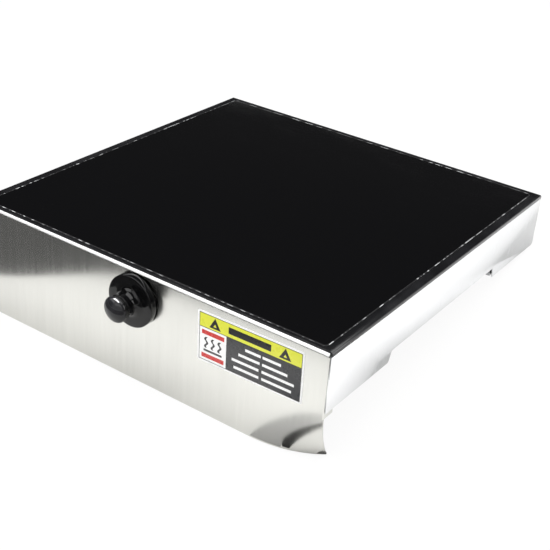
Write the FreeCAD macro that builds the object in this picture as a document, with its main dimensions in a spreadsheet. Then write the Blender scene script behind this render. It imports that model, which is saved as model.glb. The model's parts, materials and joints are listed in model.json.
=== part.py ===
import FreeCAD, Part

import math
import os
from types import SimpleNamespace

import Sketcher

# Hot plate burner: a sheet-metal housing with a flush glass-ceramic top, one radiant element under
# the glass, an energy regulator behind the front apron and a turning control knob.
#
# Frame, in millimetres: +X to the user's right, +Y away from the user, +Z up. The origin is the
# centre of the glass's cooking surface. The feet stand on the plane z = -body_height, and the front
# apron hangs below that plane, over the edge of the counter.

DOC = FreeCAD.newDocument("HotPlateBurner")
SHEET = DOC.addObject("Spreadsheet::Sheet", "Sizes")
NODES = {}

SIZES = [
    # overall
    ("width", 400.0, "housing, left to right"),
    ("depth", 398.0, "housing, front to back"),
    ("body_height", 57.2, "cooking surface down to the feet"),
    ("apron_height", 114.3, "cooking surface down to the apron's lower edge"),
    # sheet-metal housing
    ("sheet", 1.2, "thickness of every housing panel"),
    ("panel_gap", 0.4, "gap between neighbouring panels"),
    ("side_rise", 10.4, "how far the middle of the underside is raised"),
    ("front_foot", 98.0, "front foot, front to back"),
    ("rear_foot", 96.0, "rear foot, front to back"),
    ("front_step", 4.4, "run of the slanted step behind the front foot"),
    ("rear_step", 2.0, "run of the step in front of the rear foot"),
    ("foot_chamfer", 2.4, "cut corner at the rear foot"),
    ("flange", 12.0, "width of the folded flanges"),
    ("base_wall", "=body_height * 0.21", "folded-up ends of the base"),
    ("side_screw_share", 0.6, "side flange screws, as a share of the way to the steps"),
    # top frame and glass
    ("rim_side", 8.5, "black rim beside the seam, left and right"),
    ("rim_front", 5.3, "rim in front of the seam"),
    ("rim_back", 6.5, "rim behind the seam"),
    ("rim_lip", 3.8, "height of the rim's downturned lip"),
    ("rim_round", 2.4, "rounding of the rim's outer edge"),
    ("skirt_drop", "=body_height * 0.2622", "how far the locating skirts reach down"),
    ("skirt_inset", 14.0, "length left free at each end of a skirt"),
    ("glass_thick", 4.0, "glass-ceramic pane"),
    ("glass_corner", 3.4, "corner radius of the pane"),
    ("seam", 1.4, "sealed gap round the pane"),
    ("seal_sink", 0.25, "sealant below the cooking surface"),
    ("gasket_thick", 0.8, "gasket tape under the pane"),
    ("gasket_width", 10.0, "width of the gasket tape"),
    ("ledge", 14.0, "width of the ledge that carries the pane"),
    # front trim and apron
    ("trim_height", 3.4, "bright strip along the front of the top"),
    ("trim_thick", 1.6, "depth of the strip"),
    ("trim_round", 0.6, "rounding of the strip's edges"),
    ("trim_inset", 2.4, "strip's end back from the side of the housing"),
    ("apron_setback", 0.4, "apron face behind the strip's face"),
    ("apron_inset", 1.6, "apron's edge in from the side of the housing"),
    ("curl_width", 73.2, "width of the corner that is curled back"),
    ("curl_height", 49.9, "height of the corner that is curled back"),
    ("curl_radius", 46.0, "radius of the curl, on the apron's face"),
    ("curl_blunt", 0.03, "share of the corner's tip that is rounded off"),
    ("return_top", 7.0, "apron's side flanges start this far down"),
    # knob and shaft
    ("knob_drop", "=body_height * 0.514", "cooking surface down to the knob's axis"),
    ("knob_lift", 2.6, "gap between the skirt and the apron"),
    ("skirt_radius", 24.7, "knob skirt"),
    ("skirt_thick", 5.4, "height of the skirt's rim"),
    ("skirt_wall", 2.3, "wall of the hollow skirt"),
    ("neck_radius", 9.6, "waist of the knob"),
    ("neck_end", 20.2, "waist ends this far from the apron"),
    ("flare_radius", 7.5, "flare between skirt and waist"),
    ("ring_radius", 11.7, "grip rings behind the cap"),
    ("ring_height", 1.8, "height of each grip ring"),
    ("groove", 0.7, "width and depth of the grooves between the rings"),
    ("cap_radius", 12.3, "knob cap"),
    ("cap_height", 4.4, "straight part of the cap"),
    ("cap_crown", 2.0, "crown of the cap"),
    ("cap_round", 3.0, "rounding of the cap's edge"),
    ("spigot_radius", 6.0, "spigot that holds the cap"),
    ("spigot_length", 2.8, "length of the spigot"),
    ("hub_radius", 7.4, "hub of the knob"),
    ("hub_lift", 3.1, "hub's end from the apron"),
    ("insert_radius", 4.6, "outside of the brass insert"),
    ("shaft_radius", 3.0, "control shaft"),
    ("shaft_flat", 1.9, "flat of the shaft, from the axis"),
    ("shaft_play", 0.08, "running clearance of the shaft, on the radius"),
    ("push_play", 0.05, "clearance of the pressed parts, on the radius"),
    # energy regulator
    ("bush_radius", 4.75, "threaded bush of the regulator"),
    ("bush_flange", 7.5, "flange of the bush"),
    ("bush_flange_thick", 1.2, "thickness of that flange"),
    ("nut_circle", 7.4, "panel nut, across its corners, as a radius"),
    ("nut_thick", 2.0, "panel nut"),
    ("washer_thick", 0.4, "lock washer"),
    ("case_width", 38.0, "regulator case, left to right"),
    ("case_height", 34.0, "regulator case, top to bottom"),
    ("case_depth", 28.0, "regulator case, front to back"),
    ("case_wall", 2.0, "wall of the case"),
    ("cam_radius", 9.0, "cam on the shaft"),
    ("cam_throw", 2.0, "how far the cam is off the shaft's axis"),
    ("cam_thick", 8.0, "length of the cam"),
    ("bracket_width", 62.0, "regulator bracket, left to right"),
    ("tab_width", 6.3, "push-on terminal tab"),
    ("tab_thick", 0.8, "push-on terminal tab"),
    ("tab_length", 8.0, "push-on terminal tab"),
    # radiant element
    ("element_y", 12.0, "centre of the element, back from the middle"),
    ("element_radius", 104.0, "element dish"),
    ("element_wall", 0.8, "sheet of the dish"),
    ("element_drop", "=body_height * 0.542", "cooking surface down to the dish's underside"),
    ("rim_gap", 2.5, "dish rim below the glass"),
    ("wool_gap", 0.2, "insulation ring below the glass"),
    ("wool_wall", 15.0, "width of the insulation ring"),
    ("ribbon_thick", 0.8, "heating ribbon"),
    ("ribbon_height", 3.6, "heating ribbon"),
    ("ribbon_first", 20.0, "radius of the innermost turn"),
    ("ribbon_pitch", 12.0, "pitch of the turns"),
    ("ribbon_clear", 1.4, "ribbon below the limiter rod"),
    ("rod_radius", 1.8, "thermal limiter rod"),
    ("rod_clear", 2.9, "dish's rim down to the rod's axis"),
    ("rod_drop", "=glass_thick + rim_gap + rod_clear", "cooking surface down to the rod's axis"),
    ("ribbon_drop", "=rod_drop + rod_radius + ribbon_clear + ribbon_height", "underside of the ribbon"),
    ("wool_base", "=element_drop - element_wall - ribbon_drop", "thickness of the insulation base"),
    # supports
    ("bar_width", 16.0, "bars that carry the element"),
    ("bar_thick", 1.8, "bars that carry the element"),
    ("bar_spread", 60.0, "each bar out from the middle"),
    ("spring_gap", "=body_height * 0.0734", "height of the leaf springs between bars and dish"),
    ("front_spring", 0.38, "front leaf springs, as a share of the bar's length"),
    ("rear_spring", 0.71, "rear leaf springs, as a share of the bar's length"),
    ("spring_thick", 0.5, "leaf spring strip"),
    ("spring_length", 34.0, "leaf spring strip"),
    ("post_radius", 5.0, "foot of each post"),
    ("post_neck", 3.5, "upper part of each post"),
    ("post_inset", 8.0, "post in from the step of the base"),
    ("post_screw_share", 0.75, "screws under the posts, as a share of the way to the bars"),
    ("shield_thick", 0.8, "heat shield"),
    ("shield_lift", "=body_height * 0.07", "heat shield above the base"),
    ("shield_width", 232.0, "heat shield, left to right"),
    # supply side
    ("gland_x", 150.0, "cord gland, left of the middle"),
    ("gland_bore", 5.0, "radius of the gland's bore"),
    ("gland_thread", 8.0, "radius of the gland's thread"),
    ("gland_hex", "=body_height * 0.21", "gland hexagon, to its corners"),
    ("gland_cap", 10.6, "radius of the gland's cap nut"),
    ("slot_width", 4.0, "vent slot"),
    ("slot_height", 24.0, "vent slot"),
    ("slot_pitch", 12.0, "pitch of the vent slots"),
    ("block_width", 42.0, "terminal block"),
    ("block_depth", 20.0, "terminal block"),
    ("block_height", 15.0, "terminal block"),
    ("lead_radius", 1.5, "insulated lead"),
    ("lead_bend", 9.0, "bend radius of a lead"),
    ("lead_lift", 7.6, "long leads above the raised floor"),
    # label and fasteners
    ("label_width", 107.4, "front label"),
    ("label_height", 49.2, "front label"),
    ("label_thick", 0.3, "front label"),
    ("label_x", 122.8, "centre of the label, right of the middle"),
    ("label_drop", 35.4, "cooking surface down to the label's centre"),
    ("label_turn", -1.1, "label's turn about the front-to-back axis, degrees"),
    ("stud_radius", 2.0, "weld studs and machine screws"),
    ("nut_radius", 4.0, "small nut, to its corners"),
    ("nut_height", 3.0, "small nut"),
    ("head_radius", 3.8, "screw head"),
    ("head_height", 2.2, "screw head"),
    ("hole_play", 0.3, "hole larger than its screw, on the radius"),
]


class Size:
    """A length that carries both its number and the spreadsheet formula that gives it."""

    def __init__(self, value, formula):
        self.value = value
        self.formula = formula

    def joined(self, other, sign, result, swap=False):
        """Return the size that comes from this one, an operator sign and another value."""
        left, right = formula_of(self), formula_of(other)
        if swap:
            left, right = right, left
        return Size(result, f"({left} {sign} {right})")

    def __add__(self, other):
        return self.joined(other, "+", self.value + number_of(other))

    def __radd__(self, other):
        return self.joined(other, "+", number_of(other) + self.value, swap=True)

    def __sub__(self, other):
        return self.joined(other, "-", self.value - number_of(other))

    def __rsub__(self, other):
        return self.joined(other, "-", number_of(other) - self.value, swap=True)

    def __mul__(self, other):
        return self.joined(other, "*", self.value * number_of(other))

    def __rmul__(self, other):
        return self.joined(other, "*", number_of(other) * self.value, swap=True)

    def __truediv__(self, other):
        return self.joined(other, "/", self.value / number_of(other))

    def __neg__(self):
        return Size(-self.value, f"(0 - {self.formula})")


def number_of(value):
    """Return the plain number of a size or a number."""
    return value.value if isinstance(value, Size) else float(value)


def formula_of(value):
    """Return the spreadsheet formula of a size or a number."""
    if isinstance(value, Size):
        return value.formula
    return f"({float(value)!r})" if value < 0 else repr(float(value))


def fill_sheet():
    """Write the driving dimensions into the spreadsheet and return them as sizes."""
    for row, (name, value, note) in enumerate(SIZES, start=1):
        SHEET.set(f"A{row}", note)
        SHEET.set(f"B{row}", str(value))
        SHEET.setAlias(f"B{row}", name)
    DOC.recompute()
    return SimpleNamespace(**{name: Size(float(SHEET.get(name)), f"Sizes.{name}") for name, _, _ in SIZES})


def rectangle(u0, u1, v0, v1):
    """Return the corners of a rectangle, for an outline."""
    return [(u0, v0), (u1, v0), (u1, v1), (u0, v1)]


class Round:
    """A circle in an outline."""

    def __init__(self, u, v, radius):
        self.u = u
        self.v = v
        self.radius = radius


PLANES = {"XY": ("XY_Plane", 1), "XZ": ("XZ_Plane", -1), "YZ": ("YZ_Plane", 1)}


class Piece:
    """One sub-part made as a PartDesign body from pads, pockets, turned profiles and fillets."""

    def __init__(self, label):
        self.body = DOC.addObject("PartDesign::Body", label)
        self.body.Label = label
        self.label = label
        self.count = 0
        NODES[label] = self.body

    def feature(self, kind):
        """Add a feature of this kind to the body."""
        self.count += 1
        return self.body.newObject(kind, f"{self.label}_{self.count}")

    def sketch(self, plane, offset, loops):
        """Add a sketch on one of the body's origin planes, with every point bound to the sheet."""
        role, _ = PLANES[plane]
        drawing = self.feature("Sketcher::SketchObject")
        support = [f for f in self.body.Origin.OriginFeatures if f.Role == role][0]
        drawing.AttachmentSupport = [(support, "")]
        drawing.MapMode = "FlatFace"
        drawing.setExpression(".AttachmentOffset.Base.z", formula_of(offset))
        for loop in loops:
            if isinstance(loop, Round):
                draw_circle(drawing, loop)
            else:
                draw_polygon(drawing, loop)
        return drawing

    def slab(self, plane, low, high, *loops):
        """Add the outlines' material between two levels across the plane."""
        sign = PLANES[plane][1]
        start = low if sign > 0 else -high
        pad = self.feature("PartDesign::Pad")
        pad.Profile = self.sketch(plane, start, loops)
        pad.setExpression("Length", formula_of(high - low))
        return self

    def cut(self, plane, low, high, *loops):
        """Take the outlines' material away between two levels across the plane."""
        sign = PLANES[plane][1]
        start = high if sign > 0 else -low
        pocket = self.feature("PartDesign::Pocket")
        pocket.Profile = self.sketch(plane, start, loops)
        pocket.setExpression("Length", formula_of(high - low))
        return self

    def turn(self, plane, level, profile):
        """Turn a profile of (radius, height) points about the plane's upright axis."""
        drawing = self.sketch(plane, level if PLANES[plane][1] > 0 else -level, [profile])
        solid = self.feature("PartDesign::Revolution")
        solid.Profile = drawing
        solid.ReferenceAxis = (drawing, ["V_Axis"])
        solid.Angle = 360.0
        return self

    def soften(self, radius, chosen):
        """Fillet the edges of the body that the test picks."""
        DOC.recompute()
        base = self.body.Tip
        names = [f"Edge{i}" for i, edge in enumerate(base.Shape.Edges, start=1) if chosen(edge)]
        if not names:
            raise RuntimeError(f"{self.label}: no edge to round")
        fillet = self.feature("PartDesign::Fillet")
        fillet.Base = (base, names)
        fillet.setExpression("Radius", formula_of(radius))
        return self


def draw_polygon(drawing, points):
    """Draw a closed outline and bind both coordinates of every corner."""
    first = drawing.GeometryCount
    total = len(points)
    corners = [FreeCAD.Vector(number_of(u), number_of(v), 0) for u, v in points]
    for i in range(total):
        drawing.addGeometry(Part.LineSegment(corners[i], corners[(i + 1) % total]), False)
    for i in range(total):
        following = first + (i + 1) % total
        drawing.addConstraint(Sketcher.Constraint("Coincident", first + i, 2, following, 1))
    for i, (u, v) in enumerate(points):
        for kind, value in (("DistanceX", u), ("DistanceY", v)):
            rule = Sketcher.Constraint(kind, -1, 1, first + i, 1, number_of(value))
            bind(drawing, drawing.addConstraint(rule), value)


def draw_circle(drawing, ring):
    """Draw a circle and bind its centre and radius."""
    centre = FreeCAD.Vector(number_of(ring.u), number_of(ring.v), 0)
    up = FreeCAD.Vector(0, 0, 1)
    index = drawing.addGeometry(Part.Circle(centre, up, number_of(ring.radius)), False)
    for kind, value in (("DistanceX", ring.u), ("DistanceY", ring.v)):
        rule = Sketcher.Constraint(kind, -1, 1, index, 3, number_of(value))
        bind(drawing, drawing.addConstraint(rule), value)
    rule = Sketcher.Constraint("Radius", index, number_of(ring.radius))
    bind(drawing, drawing.addConstraint(rule), ring.radius)


def bind(drawing, index, value):
    """Bind a constraint to the sheet where its value comes from there."""
    if isinstance(value, Size):
        drawing.setExpression(f"Constraints[{index}]", value.formula)


def upright(edge):
    """Tell whether an edge is a straight line along Z."""
    box = edge.BoundBox
    return isinstance(edge.Curve, Part.Line) and box.ZLength > 0.1 and box.XLength + box.YLength < 1e-6


def hoop(radius, y):
    """Return a test that picks the round edge of this radius at this y."""

    def chosen(edge):
        if not isinstance(edge.Curve, Part.Circle):
            return False
        same_radius = abs(edge.Curve.Radius - number_of(radius)) < 0.01
        return same_radius and abs(edge.Curve.Center.y - number_of(y)) < 0.01

    return chosen


TURNS = {
    "X": FreeCAD.Rotation(FreeCAD.Vector(0, 1, 0), 90),
    "Y": FreeCAD.Rotation(FreeCAD.Vector(1, 0, 0), -90),
    "Z": FreeCAD.Rotation(),
}


def place(item, x, y, z, axis="Z"):
    """Put a primitive's base at a point, with its length along an axis."""
    item.Placement = FreeCAD.Placement(FreeCAD.Vector(), TURNS[axis])
    for letter, value in (("x", x), ("y", y), ("z", z)):
        item.setExpression(f"Placement.Base.{letter}", formula_of(value))
    return item


def rod(x, y, z, axis, radius, length):
    """Make a cylinder that starts at a point and runs along an axis."""
    item = DOC.addObject("Part::Cylinder", "rod")
    item.setExpression("Radius", formula_of(radius))
    item.setExpression("Height", formula_of(length))
    return place(item, x, y, z, axis)


def hexagon(x, y, z, axis, corner_radius, length):
    """Make a hexagonal prism that starts at a point and runs along an axis."""
    item = DOC.addObject("Part::Prism", "hexagon")
    item.Polygon = 6
    item.setExpression("Circumradius", formula_of(corner_radius))
    item.setExpression("Height", formula_of(length))
    return place(item, x, y, z, axis)


def block(x0, x1, y0, y1, z0, z1):
    """Make a box between two corners."""
    item = DOC.addObject("Part::Box", "block")
    item.setExpression("Length", formula_of(x1 - x0))
    item.setExpression("Width", formula_of(y1 - y0))
    item.setExpression("Height", formula_of(z1 - z0))
    return place(item, x0, y0, z0)


def fused(items, label=None):
    """Fuse shapes into one, and keep it as a node where it has a label."""
    item = DOC.addObject("Part::MultiFuse", label or "fused")
    item.Shapes = items
    item.Refine = True
    return keep(item, label)


def cut_from(base, tool, label=None):
    """Cut one shape from another, and keep the result as a node where it has a label."""
    item = DOC.addObject("Part::Cut", label or "cut")
    item.Base = base
    item.Tool = tool
    return keep(item, label)


def grouped(items, label):
    """Keep separate solids together as one node."""
    item = DOC.addObject("Part::Compound", label)
    item.Links = items
    return keep(item, label)


def keep(item, label):
    """Register a node under its label."""
    if label:
        item.Label = label
        NODES[label] = item
    return item


s = fill_sheet()

# Planes that many pieces share.
FRONT = -s.depth / 2
BACK = s.depth / 2
SIDE = s.width / 2
FEET = -s.body_height
RAISED = s.side_rise - s.body_height
FACE = FRONT + s.apron_setback
APRON_BACK = FACE + s.sheet
APRON_SIDE = SIDE - s.apron_inset
PANEL_TOP = -(s.rim_lip + s.panel_gap)
KNOB_Z = -s.knob_drop
FLOOR = RAISED + s.sheet
FRONT_STEP = FRONT + s.front_foot
REAR_STEP = BACK - s.rear_foot
SKIRT_OUT = s.sheet + s.panel_gap
HOLE = s.stud_radius + s.hole_play


def seat(inset):
    """Return the outline of the pane's seat, moved in or out by an inset."""
    return rectangle(
        -(SIDE - s.rim_side - inset),
        SIDE - s.rim_side - inset,
        FRONT + s.rim_front + inset,
        BACK - s.rim_back - inset,
    )


def make_glass():
    """Pane, sealant bead and gasket tape."""
    pane = Piece("glass_top")
    pane.slab("XY", -s.glass_thick, 0.0, seat(s.seam))
    pane.soften(s.glass_corner, upright)
    bead = Piece("glass_seal")
    bead.slab("XY", -s.glass_thick, -s.seal_sink, seat(0.0), seat(s.seam))
    bead.soften(s.glass_corner, inner_corner(SIDE - s.rim_side - s.seam))
    bead.soften(s.glass_corner + s.seam, inner_corner(SIDE - s.rim_side))
    tape = Piece("glass_gasket")
    low = -(s.glass_thick + s.gasket_thick)
    inside = s.seam + s.gasket_width
    tape.slab("XY", low, -s.glass_thick, seat(s.seam), seat(inside))


def inner_corner(x):
    """Return a test that picks the upright edges at this distance left and right."""

    def chosen(edge):
        return upright(edge) and abs(abs(edge.CenterOfMass.x) - number_of(x)) < 0.01

    return chosen


def make_top_frame():
    """Black rim round the glass, with its ledge, outer lip and locating skirts."""
    frame = Piece("top_frame")
    start = FRONT + s.trim_thick
    outline = rectangle(-SIDE, SIDE, start, BACK)
    inset = rectangle(-(SIDE - s.sheet), SIDE - s.sheet, start + s.sheet, BACK - s.sheet)
    ledge_top = -(s.glass_thick + s.gasket_thick)
    frame.slab("XY", -s.sheet, 0.0, outline, seat(0.0))
    frame.slab("XY", -s.rim_lip, -s.sheet, outline, inset)
    frame.slab("XY", ledge_top - s.sheet, -s.sheet, seat(-s.sheet), seat(0.0))
    frame.slab("XY", ledge_top - s.sheet, ledge_top, seat(-s.sheet / 2), seat(s.ledge))
    for side in (-1, 1):
        span = sorted_pair(side, SIDE - SKIRT_OUT - s.sheet, SIDE - SKIRT_OUT)
        skirt = rectangle(*span, FRONT + s.skirt_inset, BACK - s.skirt_inset)
        frame.slab("XY", -s.skirt_drop, -s.sheet, skirt)
    half = SIDE - s.skirt_inset
    back_skirt = rectangle(-half, half, BACK - SKIRT_OUT - s.sheet, BACK - SKIRT_OUT)
    frame.slab("XY", -s.skirt_drop, -s.sheet, back_skirt)
    front_skirt = rectangle(-half, half, start, start + s.sheet)
    frame.slab("XY", -s.skirt_drop, -s.rim_lip, front_skirt)
    drop = STUD_DROP
    holes = [Round(x, -drop, HOLE) for x in stud_places()]
    frame.cut("XZ", start, start + s.sheet, *holes)
    holes = [Round(x, -drop, s.stud_radius) for x in stud_places()]
    frame.cut("XZ", BACK - SKIRT_OUT - s.sheet, BACK - SKIRT_OUT, *holes)
    frame.soften(s.glass_corner + s.seam, seat_corner)
    frame.soften(s.rim_round, outer_top_edge)


def seat_corner(edge):
    """Pick the upright corner edges of the pane's seat."""
    wide = number_of(SIDE - s.rim_side)
    near = number_of(FRONT + s.rim_front)
    far = number_of(BACK - s.rim_back)
    if not upright(edge) or abs(abs(edge.CenterOfMass.x) - wide) > 0.01:
        return False
    return min(abs(edge.CenterOfMass.y - near), abs(edge.CenterOfMass.y - far)) < 0.01


def outer_top_edge(edge):
    """Pick the rim's outer top edges at the left, the right and the back."""
    box = edge.BoundBox
    if box.ZMin < -0.01 or not isinstance(edge.Curve, Part.Line):
        return False
    at_side = box.XLength < 0.01 and abs(abs(box.XMin) - number_of(SIDE)) < 0.01
    at_back = box.YLength < 0.01 and abs(box.YMin - number_of(BACK)) < 0.01
    return at_side or at_back


def sorted_pair(side, near, far):
    """Return a span across X on the left (-1) or the right (1), lower value first."""
    return (near, far) if side > 0 else (-far, -near)


STUD_DROP = s.glass_thick + s.gasket_thick + s.sheet + s.nut_radius


def stud_places():
    """Return the places of the studs and screws along the width."""
    return [(SIDE - s.skirt_inset) * share for share in (-0.85, -0.3, 0.3, 0.85)]


def make_trim():
    """Bright strip that finishes the front of the top."""
    trim = Piece("front_trim")
    half = SIDE - s.trim_inset
    outline = rectangle(-half, half, -s.trim_height, 0.0)
    trim.slab("XZ", FRONT, FRONT + s.trim_thick, outline)
    trim.soften(s.trim_round, front_edge)


def front_edge(edge):
    """Pick the edges that lie in the front plane."""
    box = edge.BoundBox
    return box.YLength < 1e-6 and abs(box.YMin - number_of(FRONT)) < 0.01


def make_apron():
    """Hanging front panel with side flanges and a lower right corner that curls back."""
    low = -s.apron_height
    bend_x = APRON_SIDE - s.curl_width
    bend_z = low + s.curl_height
    flat = Piece("apron_sheet")
    del NODES["apron_sheet"]
    outline = [
        (-APRON_SIDE, low),
        (bend_x, low),
        (APRON_SIDE, bend_z),
        (APRON_SIDE, -s.rim_lip),
        (-APRON_SIDE, -s.rim_lip),
    ]
    hole = Round(0.0, KNOB_Z, s.bush_radius + s.hole_play)
    flat.slab("XZ", FACE, APRON_BACK, outline, hole)
    for side in (-1, 1):
        span = sorted_pair(side, APRON_SIDE - s.sheet, APRON_SIDE)
        fold = rectangle(*span, bend_z + s.sheet, -s.return_top)
        flat.slab("XZ", APRON_BACK, APRON_BACK + s.flange, fold)
    curl = DOC.addObject("Part::Feature", "curled_corner")
    curl.Shape = curled_corner(number_of(bend_x), number_of(bend_z), number_of(low))
    curl.Placement = FreeCAD.Placement(
        FreeCAD.Vector(0, number_of(FACE), 0), FreeCAD.Rotation()
    )
    fused([flat.body, curl], "apron")


def curled_corner(bend_x, bend_z, low):
    """Return the corner beyond the bend line, rolled on a cylinder, with its face at y = 0."""
    wide = s.curl_width.value
    high = s.curl_height.value
    right = number_of(APRON_SIDE)
    slope = math.hypot(wide, high)
    reach = wide * high / slope
    across = FreeCAD.Vector(high, 0, -wide) / slope
    foot = FreeCAD.Vector(bend_x, 0, low)
    head = FreeCAD.Vector(right, 0, bend_z)
    tip = FreeCAD.Vector(right, 0, low)
    steps = 12
    end = 1.0 - s.curl_blunt.value

    def rolled(start, share, depth):
        """Roll the point at a share of the way from start to the tip, at a depth in the sheet."""
        flat = start + (tip - start) * share
        travel = reach * share
        turn = travel / s.curl_radius.value
        radius = s.curl_radius.value - depth
        base = flat - across * travel
        back = s.curl_radius.value - radius * math.cos(turn)
        return base + across * (radius * math.sin(turn)) + FreeCAD.Vector(0, back, 0)

    def edge(start, depth):
        """Return one long edge of the corner as a smooth curve."""
        curve = Part.BSplineCurve()
        curve.interpolate([rolled(start, end * i / steps, depth) for i in range(steps + 1)])
        return curve.toShape()

    sheet = s.sheet.value
    edges = [edge(foot, 0), edge(head, 0), edge(head, sheet), edge(foot, sheet)]
    faces = [Part.makeRuledSurface(edges[i], edges[(i + 1) % 4]) for i in range(4)]
    for share in (0.0, end):
        ends = [rolled(foot, share, 0), rolled(head, share, 0)]
        ends += [rolled(head, share, sheet), rolled(foot, share, sheet)]
        faces.append(Part.Face(Part.makePolygon(ends + ends[:1])))
    shell = Part.makeShell(faces)
    shell.sewShape()
    solid = Part.makeSolid(shell)
    if solid.Volume < 0:
        solid.reverse()
    return solid


def profile_points(lift):
    """Return the underside's profile, from front to back, raised by a lift."""
    return [
        (FRONT_STEP, FEET + lift),
        (FRONT_STEP + s.front_step, RAISED + lift),
        (REAR_STEP - s.rear_step, RAISED + lift),
        (REAR_STEP, FEET + lift),
    ]


def make_sides():
    """Left and right panels, each with feet, a bottom flange and rear foot return."""
    for side, label in ((-1, "left_side_panel"), (1, "right_side_panel")):
        panel = Piece(label)
        outline = [(FACE, FEET), *profile_points(0.0)]
        outline += [(BACK - s.foot_chamfer, FEET), (BACK, FEET + s.foot_chamfer)]
        outline += [(BACK, PANEL_TOP), (FACE, PANEL_TOP)]
        panel.slab("YZ", *sorted_pair(side, SIDE - s.sheet, SIDE), outline)
        across = sorted_pair(side, SIDE - s.sheet - s.flange, SIDE - s.sheet)
        middle = (FRONT_STEP + s.front_step + s.sheet * 4, REAR_STEP - s.rear_step - s.sheet * 4)
        flange = rectangle(*across, *middle)
        holes = [Round(side * SIDE_SCREW_X, y, s.stud_radius) for y in side_screw_places()]
        panel.slab("XY", FLOOR, FLOOR + s.sheet, flange, *holes)
        front_flange = rectangle(*across, FRONT + s.flange * 2, FRONT_STEP - s.sheet * 4)
        rear_flange = rectangle(*across, REAR_STEP + s.sheet * 4, BACK - s.flange * 2)
        for foot in (front_flange, rear_flange):
            panel.slab("XY", FEET + s.sheet, FEET + s.sheet * 2, foot)


SIDE_SCREW_X = SIDE - s.sheet - s.flange / 2


def side_screw_places():
    """Return the y places of the screws that hold the base to the side flanges."""
    return [FRONT_STEP * s.side_screw_share, REAR_STEP * s.side_screw_share]


def make_base_pan():
    """Folded base that follows the feet and the raised middle, with folded-up ends and vents."""
    pan = Piece("base_pan")
    near = APRON_BACK + s.panel_gap
    far = BACK - SKIRT_OUT
    wall_top = BASE_WALL_TOP
    lower = [(near, FEET), *profile_points(0.0), (far, FEET)]
    upper = [(y + shift, z + s.sheet) for (y, z), shift in zip(profile_points(0.0), STEP_SHIFT)]
    inner = [(far - s.sheet, wall_top), (far - s.sheet, FEET + s.sheet), *reversed(upper)]
    inner += [(near + s.sheet, FEET + s.sheet), (near + s.sheet, wall_top)]
    outline = [*lower, (far, wall_top), *inner, (near, wall_top)]
    half = APRON_SIDE - s.sheet - s.panel_gap
    pan.slab("YZ", -half, half, outline)
    vents = []
    for column in range(-4, 5):
        x = column * s.slot_pitch * 1.5
        vents.append(rectangle(x - s.slot_width / 2, x + s.slot_width / 2, -s.slot_height, s.slot_height))
    pan.cut("XY", RAISED, FLOOR, *vents)
    holes = [Round(x, y, HOLE) for x, y in post_places()]
    holes += [Round(side * SIDE_SCREW_X, y, HOLE) for side in (-1, 1) for y in side_screw_places()]
    pan.cut("XY", RAISED, FLOOR, *holes)
    holes = [Round(x, BASE_SCREW_Z, s.stud_radius) for x in stud_places()]
    pan.cut("XZ", far - s.sheet, far, *holes)
    holes = [Round(x, BASE_SCREW_Z, HOLE) for x in stud_places()]
    pan.cut("XZ", near, near + s.sheet, *holes)


STEP_SHIFT = (-s.sheet, -s.sheet * 0.6, s.sheet * 0.9, s.sheet)
BASE_WALL_TOP = FEET + s.base_wall + s.sheet
BASE_SCREW_Z = FEET + s.base_wall * 0.6


def post_places():
    """Return the places of the four posts that carry the element's bars."""
    near = FRONT_STEP + s.front_step + s.post_inset
    far = REAR_STEP - s.rear_step - s.post_inset
    return [(side * s.bar_spread, y) for side in (-1, 1) for y in (near, far)]


def make_rear_panel():
    """Rear panel with vent slots, the gland's hole and screw holes."""
    panel = Piece("rear_panel")
    half = SIDE - s.sheet - s.panel_gap
    outline = rectangle(-half, half, FEET, PANEL_TOP)
    holes = [Round(-s.gland_x, GLAND_Z, s.gland_thread + s.hole_play)]
    holes += [Round(x, z, HOLE) for x in stud_places() for z in (-STUD_DROP, BASE_SCREW_Z)]
    panel.slab("XZ", BACK - s.sheet, BACK, outline, *holes)
    slots = []
    for column in range(-5, 14):
        if column == 4:
            continue
        x = column * s.slot_pitch - s.slot_pitch / 2
        low = GLAND_Z - s.slot_height / 2
        slots.append(rectangle(x, x + s.slot_width, low, low + s.slot_height))
    panel.cut("XZ", BACK - s.sheet, BACK, *slots)


GLAND_Z = -(s.body_height / 2 + 1.4)


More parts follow.
